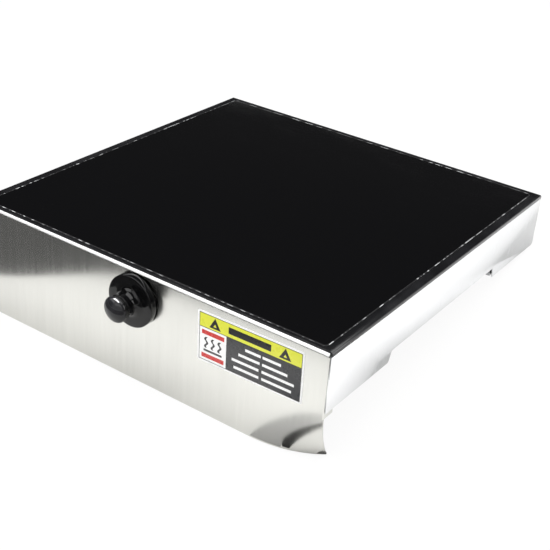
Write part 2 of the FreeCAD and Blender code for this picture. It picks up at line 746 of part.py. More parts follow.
def make_knob():
    """Knob body, cap, brass insert and clip, all turned about the shaft's axis."""
    lift = FACE - s.knob_lift
    skirt_top = lift - s.skirt_thick
    neck_top = FACE - s.neck_end
    hub_end = FACE - s.hub_lift
    ring_one = neck_top - s.ring_height
    ring_two = ring_one - s.groove
    body_top = ring_two - s.ring_height
    bore_top = neck_top - s.groove
    web = bore_top - s.groove
    axis = 0.0
    bore = s.insert_radius + s.push_play
    hollow = s.skirt_radius - s.skirt_wall
    rings_in = s.ring_radius - s.groove
    knob = Piece("knob_body")
    knob.turn("XY", KNOB_Z, [
        (bore, hub_end),
        (s.hub_radius, hub_end),
        (s.hub_radius, lift - s.skirt_thick + s.skirt_wall),
        (hollow, lift - s.skirt_thick + s.skirt_wall),
        (hollow, lift),
        (s.skirt_radius, lift),
        (s.skirt_radius, skirt_top),
        (s.neck_radius, skirt_top - s.groove),
        (s.neck_radius, neck_top),
        (s.ring_radius, neck_top),
        (s.ring_radius, ring_one),
        (rings_in, ring_one),
        (rings_in, ring_two),
        (s.ring_radius, ring_two),
        (s.ring_radius, body_top),
        (s.spigot_radius + s.push_play, body_top),
        (s.spigot_radius + s.push_play, web),
        (axis, web),
        (axis, bore_top),
        (bore, bore_top),
    ])
    knob.soften(s.skirt_wall * 0.8, hoop(s.skirt_radius, skirt_top))
    knob.soften(s.flare_radius, hoop(s.neck_radius, skirt_top - s.groove))
    cap_base = body_top - s.groove
    cap = Piece("knob_cap")
    cap.turn("XY", KNOB_Z, [
        (axis, body_top + s.spigot_length),
        (s.spigot_radius, body_top + s.spigot_length),
        (s.spigot_radius, body_top),
        (rings_in, body_top),
        (rings_in, cap_base),
        (s.cap_radius, cap_base),
        (s.cap_radius, cap_base - s.cap_height),
        (axis, cap_base - s.cap_height - s.cap_crown),
    ])
    cap.soften(s.cap_round, hoop(s.cap_radius, cap_base - s.cap_height))
    insert = Piece("knob_insert")
    outline = Round(axis, KNOB_Z, s.insert_radius)
    insert.slab("XZ", bore_top, hub_end, outline, d_shape(s.push_play))
    shaft_front = bore_top + s.push_play
    make_shaft(shaft_front)


def d_shape(play):
    """Return the shaft's section with its flat, grown by a clearance, as a many-sided outline."""
    sides = 24
    radius = s.shaft_radius + play
    flat = math.asin(number_of(s.shaft_flat) / number_of(s.shaft_radius))
    points = []
    for i in range(sides + 1):
        angle = math.pi - flat + (math.pi + 2 * flat) * i / sides
        points.append((radius * math.cos(angle), KNOB_Z + radius * math.sin(angle)))
    return points


def make_shaft(front):
    """Control shaft with its flat, and the cam on it."""
    shaft = Piece("control_shaft")
    axis = 0.0
    flat_end = FACE - s.hub_lift
    rear = CASE_BACK + s.case_wall / 2
    shaft.slab("XZ", flat_end, rear, Round(axis, KNOB_Z, s.shaft_radius))
    shaft.slab("XZ", front, flat_end, d_shape(axis))
    cam = Piece("shaft_cam")
    low = CASE_FRONT + s.case_wall * 3
    section = Round(s.cam_throw, KNOB_Z, s.cam_radius)
    cam.slab("XZ", low, low + s.cam_thick, section, Round(axis, KNOB_Z, s.shaft_radius + s.push_play))


BRACKET_BACK = APRON_BACK + s.sheet
CASE_FRONT = BRACKET_BACK + s.bush_flange_thick
CASE_BACK = CASE_FRONT + s.case_depth


def make_regulator():
    """Energy regulator: bush, nut, washer, bracket, case, cover, blades and terminals."""
    axis = 0.0
    bore = s.shaft_radius + s.shaft_play
    half_x = s.case_width / 2
    half_z = s.case_height / 2
    bush = Piece("regulator_bush")
    nut_front = FACE - s.washer_thick - s.nut_thick
    spigot_end = CASE_FRONT + s.case_wall
    bush.turn("XY", KNOB_Z, [
        (bore, nut_front),
        (s.bush_radius, nut_front),
        (s.bush_radius, BRACKET_BACK),
        (s.bush_flange, BRACKET_BACK),
        (s.bush_flange, CASE_FRONT),
        (s.bush_radius, CASE_FRONT),
        (s.bush_radius, spigot_end),
        (bore, spigot_end),
    ])
    hole = s.bush_radius + s.push_play
    washer = Piece("lock_washer")
    rings = (Round(axis, KNOB_Z, s.nut_circle), Round(axis, KNOB_Z, hole))
    washer.slab("XZ", FACE - s.washer_thick, FACE, *rings)
    nut = hexagon(axis, nut_front, KNOB_Z, "Y", s.nut_circle, s.nut_thick)
    cut_from(nut, rod(axis, nut_front, KNOB_Z, "Y", hole, s.nut_thick), "panel_nut")
    bracket = Piece("regulator_bracket")
    wide = s.bracket_width / 2
    plate = rectangle(-wide, wide, BASE_WALL_TOP + s.panel_gap, -(s.skirt_drop + s.panel_gap))
    screws = [Round(side * CASE_SCREW_X, KNOB_Z, s.stud_radius) for side in (-1, 1)]
    bracket.slab("XZ", APRON_BACK, BRACKET_BACK, plate, Round(axis, KNOB_Z, hole), *screws)
    case = Piece("regulator_case")
    outer = rectangle(-half_x, half_x, KNOB_Z - half_z, KNOB_Z + half_z)
    inside_x = half_x - s.case_wall
    inside_z = half_z - s.case_wall
    inner = rectangle(-inside_x, inside_x, KNOB_Z - inside_z, KNOB_Z + inside_z)
    case.slab("XZ", CASE_FRONT, CASE_BACK, outer)
    case.cut("XZ", CASE_FRONT + s.case_wall, CASE_BACK, inner)
    case.cut("XZ", CASE_FRONT, CASE_FRONT + s.case_wall, Round(axis, KNOB_Z, hole))
    for side in (-1, 1):
        span = sorted_pair(side, half_x, CASE_SCREW_X + s.head_radius)
        ear = rectangle(*span, KNOB_Z - s.head_radius, KNOB_Z + s.head_radius)
        screw = Round(side * CASE_SCREW_X, KNOB_Z, HOLE)
        case.slab("XZ", CASE_FRONT, CASE_FRONT + s.case_wall, ear, screw)
    cover = Piece("regulator_cover")
    cover.slab("XZ", CASE_BACK, CASE_BACK + s.case_wall, outer)
    socket = Round(axis, KNOB_Z, s.shaft_radius + s.shaft_play)
    cover.cut("XZ", CASE_BACK, CASE_BACK + s.case_wall * 0.7, socket)
    low = CASE_FRONT + s.case_wall * 3
    sweep = s.cam_radius + s.cam_throw
    blade_x = sweep + s.hole_play + s.tab_thick
    foot_z = KNOB_Z - inside_z
    blade = Piece("contact_blade")
    blade.slab("XZ", low, low + s.cam_thick, [
        (blade_x, foot_z),
        (blade_x + s.tab_thick, foot_z),
        (blade_x + s.tab_thick, KNOB_Z + inside_z - s.case_wall),
        (blade_x, KNOB_Z + inside_z - s.case_wall),
        (blade_x, KNOB_Z + s.tab_thick),
        (blade_x - s.tab_thick, KNOB_Z),
        (blade_x, KNOB_Z - s.tab_thick),
    ])
    strip = Piece("bimetal_blade")
    strip_x = rectangle(-(blade_x + s.tab_thick), -blade_x, foot_z, KNOB_Z + inside_z - s.case_wall)
    strip.slab("XZ", low, low + s.cam_thick, strip_x)
    tabs = []
    for x, z in tab_places():
        back = CASE_BACK + s.case_wall
        tabs.append(block(x - s.tab_width / 2, x + s.tab_width / 2, back, back + s.tab_length,
                          z - s.tab_thick / 2, z + s.tab_thick / 2))
    grouped(tabs, "regulator_terminals")
    screws = [machine_screw(side * CASE_SCREW_X, CASE_FRONT + s.case_wall, KNOB_Z, "Y", -1, s.sheet * 3)
              for side in (-1, 1)]
    grouped(screws, "bracket_screws")


CASE_SCREW_X = s.case_width / 2 + s.head_radius + s.hole_play


def tab_places():
    """Return the places of the regulator's four terminal tabs."""
    return [(side * s.case_width / 4, KNOB_Z + rise * s.case_height / 4)
            for side in (-1, 1) for rise in (-1, 1)]


def machine_screw(x, y, z, axis, way, length):
    """Make a screw whose head sits on a face; way is the direction of its shank along the axis."""
    top = {"X": x, "Y": y, "Z": z}[axis]
    low_head = top if way < 0 else top - s.head_height
    low_shank = top - length if way < 0 else top
    parts = []
    for start, radius, size in ((low_head, s.head_radius, s.head_height), (low_shank, SCREW, length)):
        spot = {"X": x, "Y": y, "Z": z, axis: start}
        parts.append(rod(spot["X"], spot["Y"], spot["Z"], axis, radius, size))
    solid = fused(parts)
    depth = s.head_height * 0.5
    low_slot = top + depth if way < 0 else top - s.head_height
    reach = s.head_radius * 0.62
    thin = s.head_radius * 0.14
    arms = []
    for wide, tall in ((reach, thin), (thin, reach)):
        spans = {"X": (x - wide, x + wide), "Y": (y - tall, y + tall), "Z": (z - tall, z + tall)}
        spans[axis] = (low_slot, low_slot + depth)
        arms.append(block(*spans["X"], *spans["Y"], *spans["Z"]))
    return cut_from(solid, fused(arms))


SCREW = s.stud_radius - s.push_play


def make_element():
    """Radiant element: dish, insulation, heating ribbon, limiter and terminal block."""
    y = s.element_y
    axis = 0.0
    bottom = -s.element_drop
    dish = Piece("element_dish")
    dish.turn("XZ", y, [
        (axis, bottom),
        (s.element_radius, bottom),
        (s.element_radius, -(s.glass_thick + s.rim_gap)),
        (s.element_radius - s.element_wall, -(s.glass_thick + s.rim_gap)),
        (s.element_radius - s.element_wall, bottom + s.element_wall),
        (axis, bottom + s.element_wall),
    ])
    outer = s.element_radius - s.element_wall - s.wool_gap
    hole = Round(y, -s.rod_drop, s.rod_radius + s.hole_play)
    dish.cut("YZ", outer - s.wool_wall, s.element_radius + s.element_wall, hole)
    wool = Piece("element_insulation")
    wool_low = bottom + s.element_wall
    bed = wool_low + s.wool_base
    wool.turn("XZ", y, [
        (axis, wool_low),
        (outer, wool_low),
        (outer, -(s.glass_thick + s.wool_gap)),
        (outer - s.wool_wall, -(s.glass_thick + s.wool_gap)),
        (outer - s.wool_wall, bed),
        (axis, bed),
    ])
    wool.cut("YZ", outer - s.wool_wall - s.wool_gap, outer + s.wool_gap, hole)
    make_ribbon(bed, outer - s.wool_wall)
    start = -(outer - s.wool_wall - s.rod_radius)
    end = s.element_radius + s.spring_gap
    limiter = Piece("limiter_rod")
    limiter.slab("YZ", start, end, Round(y, -s.rod_drop, s.rod_radius))
    head = Piece("limiter_head")
    side = s.block_height / 2
    low_z = -s.rod_drop - s.rod_radius * 3
    head_top = -(s.glass_thick + s.rim_gap)
    head.slab("YZ", end, end + s.block_depth, rectangle(y - side, y + side, low_z, head_top))
    block_y = y - s.element_radius
    ends = Piece("element_terminals")
    outline = rectangle(-side, side, block_y - side, block_y - s.wool_gap)
    ends.slab("XY", bottom + s.rod_radius, ELEMENT_TOP, outline)


ELEMENT_TOP = -s.element_drop / 2


def make_ribbon(bed, limit):
    """Heating ribbon: open rings standing on the insulation, linked into one path."""
    y = s.element_y
    turns = 6
    rings = []
    for turn in range(turns):
        radius = s.ribbon_first + turn * s.ribbon_pitch
        if number_of(radius) > number_of(limit - s.ribbon_thick):
            break
        outer = rod(0.0, y, bed, "Z", radius + s.ribbon_thick / 2, s.ribbon_height)
        inner = rod(0.0, y, bed, "Z", radius - s.ribbon_thick / 2, s.ribbon_height)
        gap_y = y - radius - s.ribbon_thick
        gap = block(-s.ribbon_thick * 3, s.ribbon_thick * 3, gap_y, gap_y + s.ribbon_thick * 3,
                    bed, bed + s.ribbon_height)
        rings.append(cut_from(cut_from(outer, inner), gap))
    links = []
    for turn in range(len(rings) - 1):
        side = 1 if turn % 2 else -1
        radius = s.ribbon_first + turn * s.ribbon_pitch
        x = side * s.ribbon_thick * 4
        links.append(block(x, x + s.ribbon_thick, y - radius - s.ribbon_pitch, y - radius + s.ribbon_thick,
                           bed, bed + s.ribbon_height))
    fused([*rings, *links], "heating_ribbon")


def make_supports():
    """Bars, leaf springs, posts and heat shield under the element."""
    springs = []
    bottom = -s.element_drop
    bar_top = bottom - s.spring_gap
    bar_low = bar_top - s.bar_thick
    near = FRONT_STEP + s.front_step + s.panel_gap
    far = REAR_STEP - s.rear_step - s.panel_gap
    for side, label in ((-1, "element_bar_left"), (1, "element_bar_right")):
        x = side * s.bar_spread
        bar = Piece(label)
        half = s.bar_width / 2
        holes = [Round(x, y, s.stud_radius) for px, y in post_places() if number_of(px) * side > 0]
        bar.slab("XY", bar_low, bar_top, rectangle(x - half, x + half, near, far), *holes)
        for share in (s.front_spring, s.rear_spring):
            y = near + (far - near) * share
            springs.append(leaf_spring(x, y, bar_top, bottom))
    grouped(springs, "hold_up_springs")
    shelf = FLOOR + s.shield_lift
    posts = []
    for x, y in post_places():
        foot = rod(x, y, FLOOR, "Z", s.post_radius, s.shield_lift)
        neck = rod(x, y, shelf, "Z", s.post_neck, bar_low - shelf)
        bore = rod(x, y, FLOOR, "Z", s.stud_radius, bar_low - FLOOR)
        posts.append(cut_from(fused([foot, neck]), bore))
    grouped(posts, "element_posts")
    shield = Piece("heat_shield")
    wide = s.shield_width / 2
    holes = [Round(x, y, s.post_neck + s.hole_play) for x, y in post_places()]
    outline = rectangle(-wide, wide, near + s.panel_gap, far - s.panel_gap)
    shield.slab("XY", shelf, shelf + s.shield_thick, outline, *holes)
    reach = (bar_low - RAISED) * s.post_screw_share
    screws = [machine_screw(x, y, RAISED, "Z", 1, reach) for x, y in post_places()]
    grouped(screws, "post_screws")
    reach = s.bar_thick + s.shield_thick
    caps = [machine_screw(x, y, bar_top, "Z", -1, reach) for x, y in post_places()]
    grouped(caps, "bar_screws")


def leaf_spring(x, y, low, high):
    """Make one bowed strip between a bar and the dish."""
    half = s.spring_length / 2
    flat = s.spring_length / 5
    thin = s.spring_thick
    wide = s.bar_width / 2 - s.element_wall
    drawing = DOC.addObject("Sketcher::SketchObject", "spring_outline")
    cycle = FreeCAD.Rotation(FreeCAD.Vector(1, 1, 1), 120)
    drawing.Placement = FreeCAD.Placement(FreeCAD.Vector(), cycle)
    drawing.setExpression("Placement.Base.x", formula_of(x - wide))
    draw_polygon(drawing, [
        (y - half, low), (y - half + flat, low),
        (y - flat / 2, high - thin), (y + flat / 2, high - thin),
        (y + half - flat, low), (y + half, low),
        (y + half, low + thin), (y + half - flat + thin, low + thin),
        (y + flat / 2 + thin, high), (y - flat / 2 - thin, high),
        (y - half + flat - thin, low + thin), (y - half, low + thin),
    ])
    strip = DOC.addObject("Part::Extrusion", "spring")
    strip.Base = drawing
    strip.DirMode = "Custom"
    strip.Dir = FreeCAD.Vector(1, 0, 0)
    strip.Solid = True
    strip.setExpression("LengthFwd", formula_of(wide * 2))
    return strip


def make_supply():
    """Cord gland, terminal block and earth stud."""
    x = -s.gland_x
    inner = BACK - s.sheet
    bore_length = s.gland_thread * 4
    tube_low = inner - s.gland_thread
    tube = rod(x, tube_low, GLAND_Z, "Y", s.gland_thread, bore_length)
    hexed = hexagon(x, BACK, GLAND_Z, "Y", s.gland_hex, s.nut_height * 1.6)
    bore = rod(x, tube_low, GLAND_Z, "Y", s.gland_bore, bore_length)
    cut_from(fused([tube, hexed]), bore, "cord_gland")
    lock = hexagon(x, inner - s.nut_height, GLAND_Z, "Y", s.gland_hex, s.nut_height)
    hole = s.gland_thread + s.push_play
    cut_from(lock, rod(x, inner - s.nut_height, GLAND_Z, "Y", hole, s.nut_height), "gland_lock_nut")
    cap_start = BACK + s.nut_height * 1.6 + s.panel_gap
    cap_end = tube_low + bore_length
    cap = DOC.addObject("Part::Cone", "cap")
    cap.setExpression("Radius1", formula_of(s.gland_cap))
    cap.setExpression("Radius2", formula_of(s.gland_cap - s.head_height))
    cap.setExpression("Height", formula_of(cap_end - cap_start))
    place(cap, x, cap_start, GLAND_Z, "Y")
    cut_from(cap, rod(x, cap_start, GLAND_Z, "Y", hole, cap_end - cap_start), "gland_cap_nut")
    floor = FEET + s.sheet
    blocks = Piece("terminal_block")
    half = s.block_width / 2
    outline = rectangle(x - half, x + half, BLOCK_Y, BLOCK_Y + s.block_depth)
    blocks.slab("XY", floor, floor + s.block_height, outline)
    walls = []
    for way in (-1, 1):
        wall_x = x + way * s.block_width / 6
        span = (wall_x - s.tab_thick, wall_x + s.tab_thick)
        walls.append(rectangle(*span, BLOCK_Y, BLOCK_Y + s.block_depth))
    blocks.slab("XY", floor + s.block_height, floor + s.block_height * 1.25, walls[0])
    blocks.slab("XY", floor + s.block_height, floor + s.block_height * 1.25, walls[1])
    middle = BLOCK_Y + s.block_depth / 2
    top = floor + s.block_height
    wells = [Round(px, middle, s.stud_radius) for px in lead_places()]
    blocks.cut("XY", top - s.block_height / 2, top, *wells)
    length = s.block_height / 3
    heads = [machine_screw(px, middle, top, "Z", -1, length) for px in lead_places()]
    grouped(heads, "terminal_screws")
    earth_x = EARTH_X
    earth_y = BLOCK_Y + s.block_depth / 2
    stud = rod(earth_x, earth_y, floor, "Z", s.stud_radius, s.block_height)
    keep(stud, "earth_stud")
    nut = hexagon(earth_x, earth_y, floor, "Z", s.nut_radius, s.nut_height)
    hole = s.stud_radius + s.push_play
    cut_from(nut, rod(earth_x, earth_y, floor, "Z", hole, s.nut_height), "earth_nut")


BLOCK_Y = REAR_STEP + s.block_depth * 1.5
EARTH_X = s.block_width - s.gland_x


def lead_places():
    """Return the x places of the terminal block's three ways."""
    return [-s.gland_x + way * s.block_width / 3 for way in (-1, 0, 1)]


def lead(label, points):
    """Make an insulated lead as a tube along straight runs joined by tangent arcs."""
    corners = [FreeCAD.Vector(*(number_of(value) for value in point)) for point in points]
    edges = []
    start = corners[0]
    for i in range(1, len(corners) - 1):
        before = (corners[i] - corners[i - 1]).normalize()
        after = (corners[i + 1] - corners[i]).normalize()
        turn = before.getAngle(after)
        if turn < 1e-4:
            continue
        shorter = min((corners[i] - corners[i - 1]).Length, (corners[i + 1] - corners[i]).Length)
        setback = min(s.lead_bend.value * math.tan(turn / 2), 0.45 * shorter)
        radius = setback / math.tan(turn / 2)
        enter = corners[i] - before * setback
        leave = corners[i] + after * setback
        inward = (after - before).normalize()
        bulge = radius / math.cos(turn / 2) - radius
        edges.append(Part.LineSegment(start, enter).toShape())
        edges.append(Part.Arc(enter, corners[i] + inward * bulge, leave).toShape())
        start = leave
    edges.append(Part.LineSegment(start, corners[-1]).toShape())
    path = Part.Wire(edges)
    ring = Part.Circle(corners[0], corners[1] - corners[0], s.lead_radius.value)
    tube = path.makePipeShell([Part.Wire([ring.toShape()])], True, False)
    expected = math.pi * s.lead_radius.value**2 * path.Length
    if abs(tube.Volume - expected) > 0.02 * expected:
        raise RuntimeError(f"{label}: the tube's volume doesn't match its length")
    item = DOC.addObject("Part::Feature", label)
    item.Shape = tube
    item.Placement = FreeCAD.Placement()
    keep(item, label)


def make_leads():
    """Leads between the terminal block, the regulator, the element and the earth stud."""
    level = FLOOR + s.lead_lift
    block_z = FEET + s.sheet + s.block_height / 2
    tab_end = CASE_BACK + s.case_wall + s.tab_length
    upper = s.case_height / 4
    lead_x = lead_places()
    near = tab_end + s.block_depth
    tabs = (("line_lead", -s.case_width / 4), ("neutral_lead", s.case_width / 4))
    for i, (label, tab_x) in enumerate(tabs):
        x = lead_x[i]
        run_y = near + i * s.block_height / 2
        tab_z = KNOB_Z - upper
        lead(label, [
            (x, BLOCK_Y, block_z),
            (x, BLOCK_Y - s.block_depth / 2, block_z),
            (x, REAR_STEP - s.block_depth, level),
            (x, run_y, level),
            (tab_x, run_y, level),
            (tab_x, tab_end + s.lead_bend, tab_z),
            (tab_x, tab_end, tab_z),
        ])
    block_y = s.element_y - s.element_radius - s.block_height / 2
    mid_z = (ELEMENT_TOP - s.element_drop) / 2
    for label, side in (("element_lead_left", -1), ("element_lead_right", 1)):
        tab_x = side * s.case_width / 4
        tab_z = KNOB_Z + upper
        end_x = side * s.block_height / 4
        lead(label, [
            (tab_x, tab_end, tab_z),
            (tab_x, tab_end + s.lead_bend, tab_z),
            (end_x, block_y - s.lead_bend, mid_z),
            (end_x, block_y, mid_z),
        ])
    earth_y = BLOCK_Y + s.block_depth / 2
    post = EARTH_X - s.stud_radius - s.push_play
    lead("earth_lead", [
        (-s.gland_x + s.block_width / 2, earth_y, FEET + s.sheet + s.block_height * 0.5),
        (post, earth_y, FEET + s.sheet + s.block_height * 0.5),
    ])


def make_label():
    """Front label, set slightly crooked on the apron."""
    label = Piece("front_label")
    wide = s.label_width / 2
    tall = s.label_height / 2
    label.slab("XZ", -s.label_thick, 0.0, rectangle(-wide, wide, -tall, tall))
    label.body.Placement = FreeCAD.Placement(
        FreeCAD.Vector(), FreeCAD.Rotation(FreeCAD.Vector(0, 1, 0), s.label_turn.value)
    )
    for letter, value in (("x", s.label_x), ("y", FACE), ("z", -s.label_drop)):
        label.body.setExpression(f"Placement.Base.{letter}", formula_of(value))


def make_fasteners():
    """Weld studs and nuts behind the apron, rear screws and base screws."""
    studs = []
    nuts = []
    places = [(x, -STUD_DROP, FRONT + s.trim_thick + s.sheet) for x in stud_places()]
    places += [(x, BASE_SCREW_Z, APRON_BACK + s.panel_gap + s.sheet) for x in stud_places()]
    for x, z, seat_y in places:
        studs.append(rod(x, APRON_BACK, z, "Y", SCREW, seat_y - APRON_BACK + s.nut_height * 1.5))
        nut = hexagon(x, seat_y, z, "Y", s.nut_radius - s.hole_play, s.nut_height)
        nuts.append(cut_from(nut, rod(x, seat_y, z, "Y", s.stud_radius, s.nut_height)))
    grouped(studs, "apron_studs")
    grouped(nuts, "apron_nuts")
    length = s.sheet * 4
    levels = (-STUD_DROP, BASE_SCREW_Z)
    rear = [machine_screw(x, BACK, z, "Y", -1, length) for x in stud_places() for z in levels]
    grouped(rear, "rear_screws")
    base = [machine_screw(side * SIDE_SCREW_X, y, RAISED, "Z", 1, length)
            for side in (-1, 1) for y in side_screw_places()]
    grouped(base, "base_screws")


def check_model():
    """Stop if any object failed, any pocket cut nothing or any node's shape is unsound."""
    for item in DOC.Objects:
        if "Invalid" in item.State or "Error" in item.State:
            raise RuntimeError(f"{item.Name}: {item.State}")
        if item.TypeId == "PartDesign::Pocket":
            if item.Shape.Volume > item.BaseFeature.Shape.Volume - 1e-6:
                raise RuntimeError(f"{item.Name}: the pocket cuts nothing")
    for label, item in NODES.items():
        if item.Shape.isNull() or not item.Shape.isValid() or not item.Shape.Solids:
            raise RuntimeError(f"{label}: its shape is empty or not valid")


def main():
    """Build every sub-part, check the model and write one STEP file for each node."""
    make_glass()
    make_top_frame()
    make_trim()
    make_apron()
    make_sides()
    make_base_pan()
    make_rear_panel()
    make_knob()
    make_regulator()
    make_element()
    make_supports()
    make_supply()
    make_leads()
    make_label()
    make_fasteners()
    DOC.recompute()
    check_model()
    os.makedirs("parts", exist_ok=True)
    for label, item in NODES.items():
        item.Shape.exportStep(os.path.join("parts", f"{label}.step"))
    print(len(NODES), "nodes")


main()
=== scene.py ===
"""Looks of the hot plate burner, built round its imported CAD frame.

Lengths are in metres and the frame is the CAD model's: +X to the right, +Y away from the user, +Z up,
with the origin in the middle of the cooking surface. Each sub-assembly is a class that holds its sizes,
makes its meshes and dresses them. Pieces that the CAD model already has right keep their CAD shape and
only get a finish.
"""

import json
import logging
import math
from dataclasses import dataclass
from enum import Enum
from typing import Callable, Iterable, Sequence, Union

import bmesh
import bpy
from bmesh.types import BMEdge, BMesh, BMVert
from bpy.types import Material, Node, NodeSocket, Object
from mathutils import Euler, Matrix, Vector


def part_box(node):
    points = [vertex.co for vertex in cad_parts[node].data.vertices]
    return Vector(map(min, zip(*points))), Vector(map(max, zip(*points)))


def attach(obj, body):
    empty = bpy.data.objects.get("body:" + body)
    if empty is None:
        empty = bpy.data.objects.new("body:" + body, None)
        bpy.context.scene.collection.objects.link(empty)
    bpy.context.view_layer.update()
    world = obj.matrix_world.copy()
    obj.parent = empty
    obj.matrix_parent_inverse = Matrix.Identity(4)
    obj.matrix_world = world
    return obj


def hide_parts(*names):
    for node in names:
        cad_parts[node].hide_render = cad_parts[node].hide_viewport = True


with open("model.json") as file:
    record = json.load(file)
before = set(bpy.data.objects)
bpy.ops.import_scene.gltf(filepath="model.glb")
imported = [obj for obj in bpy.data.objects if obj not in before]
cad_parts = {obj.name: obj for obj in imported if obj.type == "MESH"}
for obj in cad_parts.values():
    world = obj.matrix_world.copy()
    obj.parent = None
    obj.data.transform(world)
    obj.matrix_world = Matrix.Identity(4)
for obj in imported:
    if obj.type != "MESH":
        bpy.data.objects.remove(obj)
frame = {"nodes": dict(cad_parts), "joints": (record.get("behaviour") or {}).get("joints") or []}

LOG = logging.getLogger("hot_plate")
MM = 0.001
CLOSE = 1e-5
USUAL = (0.3, 0.7)
TRIANGLE_SLOPE = 1.72

Span = tuple[float, float]
Triple = tuple[float, float, float]


class Body(Enum):
    """The two bodies that pieces ride on."""

    HOUSING = "housing"
    KNOB = "knob"


class Grain(Enum):
    """Which way the brushing of a metal runs, as how finely noise is stretched along X, Y and Z."""

    UPRIGHT = (1.0, 1.0, 0.012)
    ACROSS = (0.012, 1.0, 1.0)
    DEEP = (1.0, 0.012, 1.0)


# ---------------------------------------------------------------------------------------------------
# Shader graphs


class Signal:
    """A number in a material. Python's operators on it add the Math nodes that work it out."""

    def __init__(self, graph: "Graph", socket: NodeSocket) -> None:
        """Wrap an output socket of a graph."""
        self.graph = graph
        self.socket = socket

    def __add__(self, other: "Value") -> "Signal":
        """Add."""
        return self.graph.math("ADD", self, other)

    def __radd__(self, other: "Value") -> "Signal":
        """Add to a plain number."""
        return self.graph.math("ADD", other, self)

    def __sub__(self, other: "Value") -> "Signal":
        """Take away."""
        return self.graph.math("SUBTRACT", self, other)

    def __rsub__(self, other: "Value") -> "Signal":
        """Take away from a plain number."""
        return self.graph.math("SUBTRACT", other, self)

    def __mul__(self, other: "Value") -> "Signal":
        """Multiply."""
        return self.graph.math("MULTIPLY", self, other)

    def __rmul__(self, other: "Value") -> "Signal":
        """Multiply a plain number."""
        return self.graph.math("MULTIPLY", other, self)

    def __gt__(self, other: "Value") -> "Signal":
        """Give 1 where this is greater, and 0 elsewhere."""
        return self.graph.math("GREATER_THAN", self, other)

    def __lt__(self, other: "Value") -> "Signal":
        """Give 1 where this is less, and 0 elsewhere."""
        return self.graph.math("LESS_THAN", self, other)

    def __abs__(self) -> "Signal":
        """Give the size without its sign."""
        return self.graph.math("ABSOLUTE", self)

    def between(self, low: float, high: float) -> "Signal":
        """Give 1 between two levels, and 0 elsewhere."""
        return (self > low) * (self < high)

    def either(self, other: "Signal") -> "Signal":
        """Give the greater of two masks."""
        return self.graph.math("MAXIMUM", self, other)


Value = Union[Signal, float]
Source = Union[Signal, NodeSocket, float, Sequence[float]]


class Graph:
    """The nodes of one material, started with its shader, its output and Object coordinates."""

    def __init__(self, name: str) -> None:
        """Start the material.

        Args:
            name: The material's name.
        """
        self.material = bpy.data.materials.new(name)
        self.material.use_nodes = True
        self.tree = self.material.node_tree
        self.tree.nodes.clear()
        self.shader = self.node("ShaderNodeBsdfPrincipled")
        self.output = self.node("ShaderNodeOutputMaterial", links={"Surface": self.shader.outputs[0]})
        self.place = self.node("ShaderNodeTexCoord").outputs["Object"]

    def node(self, kind: str, settings: dict | None = None, links: dict | None = None) -> Node:
        """Add a node.

        Args:
            kind: The node's type.
            settings: Its settings, which are set first.
            links: Values or sockets for its inputs, by name or number.

        Returns:
            The node.
        """
        made = self.tree.nodes.new(kind)
        for name, value in (settings or {}).items():
            setattr(made, name, value)
        for name, value in (links or {}).items():
            self.join(made.inputs[name], value)
        return made

    def join(self, socket: NodeSocket, value: Source) -> None:
        """Link a socket to a source, or set its value.

        Args:
            socket: The input socket.
            value: A signal, an output socket, or plain numbers.
        """
        source = value.socket if isinstance(value, Signal) else value
        if isinstance(source, NodeSocket):
            self.tree.links.new(source, socket)
        else:
            socket.default_value = source

    def set(self, **inputs: Source) -> None:
        """Set or link the shader's inputs, with _ for a blank in their names."""
        for name, value in inputs.items():
            self.join(self.shader.inputs[name.replace("_", " ")], value)

    def math(self, operation: str, *values: Value) -> Signal:
        """Add a Math node and give its result."""
        made = self.node("ShaderNodeMath", {"operation": operation}, dict(enumerate(values)))
        return Signal(self, made.outputs[0])

    def noise(self, scale: float, stretch: Triple = (1.0, 1.0, 1.0), detail: float = 2.0) -> Signal:
        """Add noise.

        Args:
            scale: Features per metre.
            stretch: How finely it varies along X, Y and Z, as shares of the scale.
            detail: Octaves of finer noise.

        Returns:
            The noise, about 0.5.
        """
        spread = self.node("ShaderNodeMapping", links={"Vector": self.place, "Scale": stretch})
        links = {"Vector": spread.outputs[0], "Scale": scale, "Detail": detail}
        return Signal(self, self.node("ShaderNodeTexNoise", links=links).outputs[0])

    def range(self, value: Signal, low: float, high: float, first: float, last: float) -> Signal:
        """Spread a value from one range to another.

        Args:
            value: What is spread.
            low: Where its range starts.
            high: Where its range ends.
            first: The result at the start.
            last: The result at the end.

        Returns:
            The spread value, held within first and last.
        """
        links = {0: value, 1: low, 2: high, 3: first, 4: last}
        return Signal(self, self.node("ShaderNodeMapRange", {"clamp": True}, links).outputs[0])

    def blend(self, share: Value, first: Source, second: Source) -> NodeSocket:
        """Mix two colours.

        Args:
            share: How much of the second colour shows.
            first: The first colour, as three or four numbers or a socket.
            second: The second colour.

        Returns:
            The mixed colour's socket.
        """
        links = {0: share, 6: opaque(first), 7: opaque(second)}
        return self.node("ShaderNodeMix", {"data_type": "RGBA"}, links).outputs[2]

    def bump(self, height: Signal, depth: float, strength: float = 1.0) -> None:
        """Raise the surface by a height.

        Args:
            height: The pattern, from 0 to 1.
            depth: Metres from its lowest to its highest.
            strength: How much of it shows.
        """
        links = {"Strength": strength, "Distance": depth, "Height": height}
        self.set(Normal=self.node("ShaderNodeBump", links=links).outputs[0])


def opaque(color: Source) -> Source:
    """Give a plain colour its fourth number, and leave a socket as it is."""
    if isinstance(color, (Signal, NodeSocket)) or len(color) == 4:
        return color
    return (*color, 1.0)


def shade(color: Triple, share: float) -> Triple:
    """Make a colour darker or lighter by a share."""
    return tuple(min(1.0, part * share) for part in color)


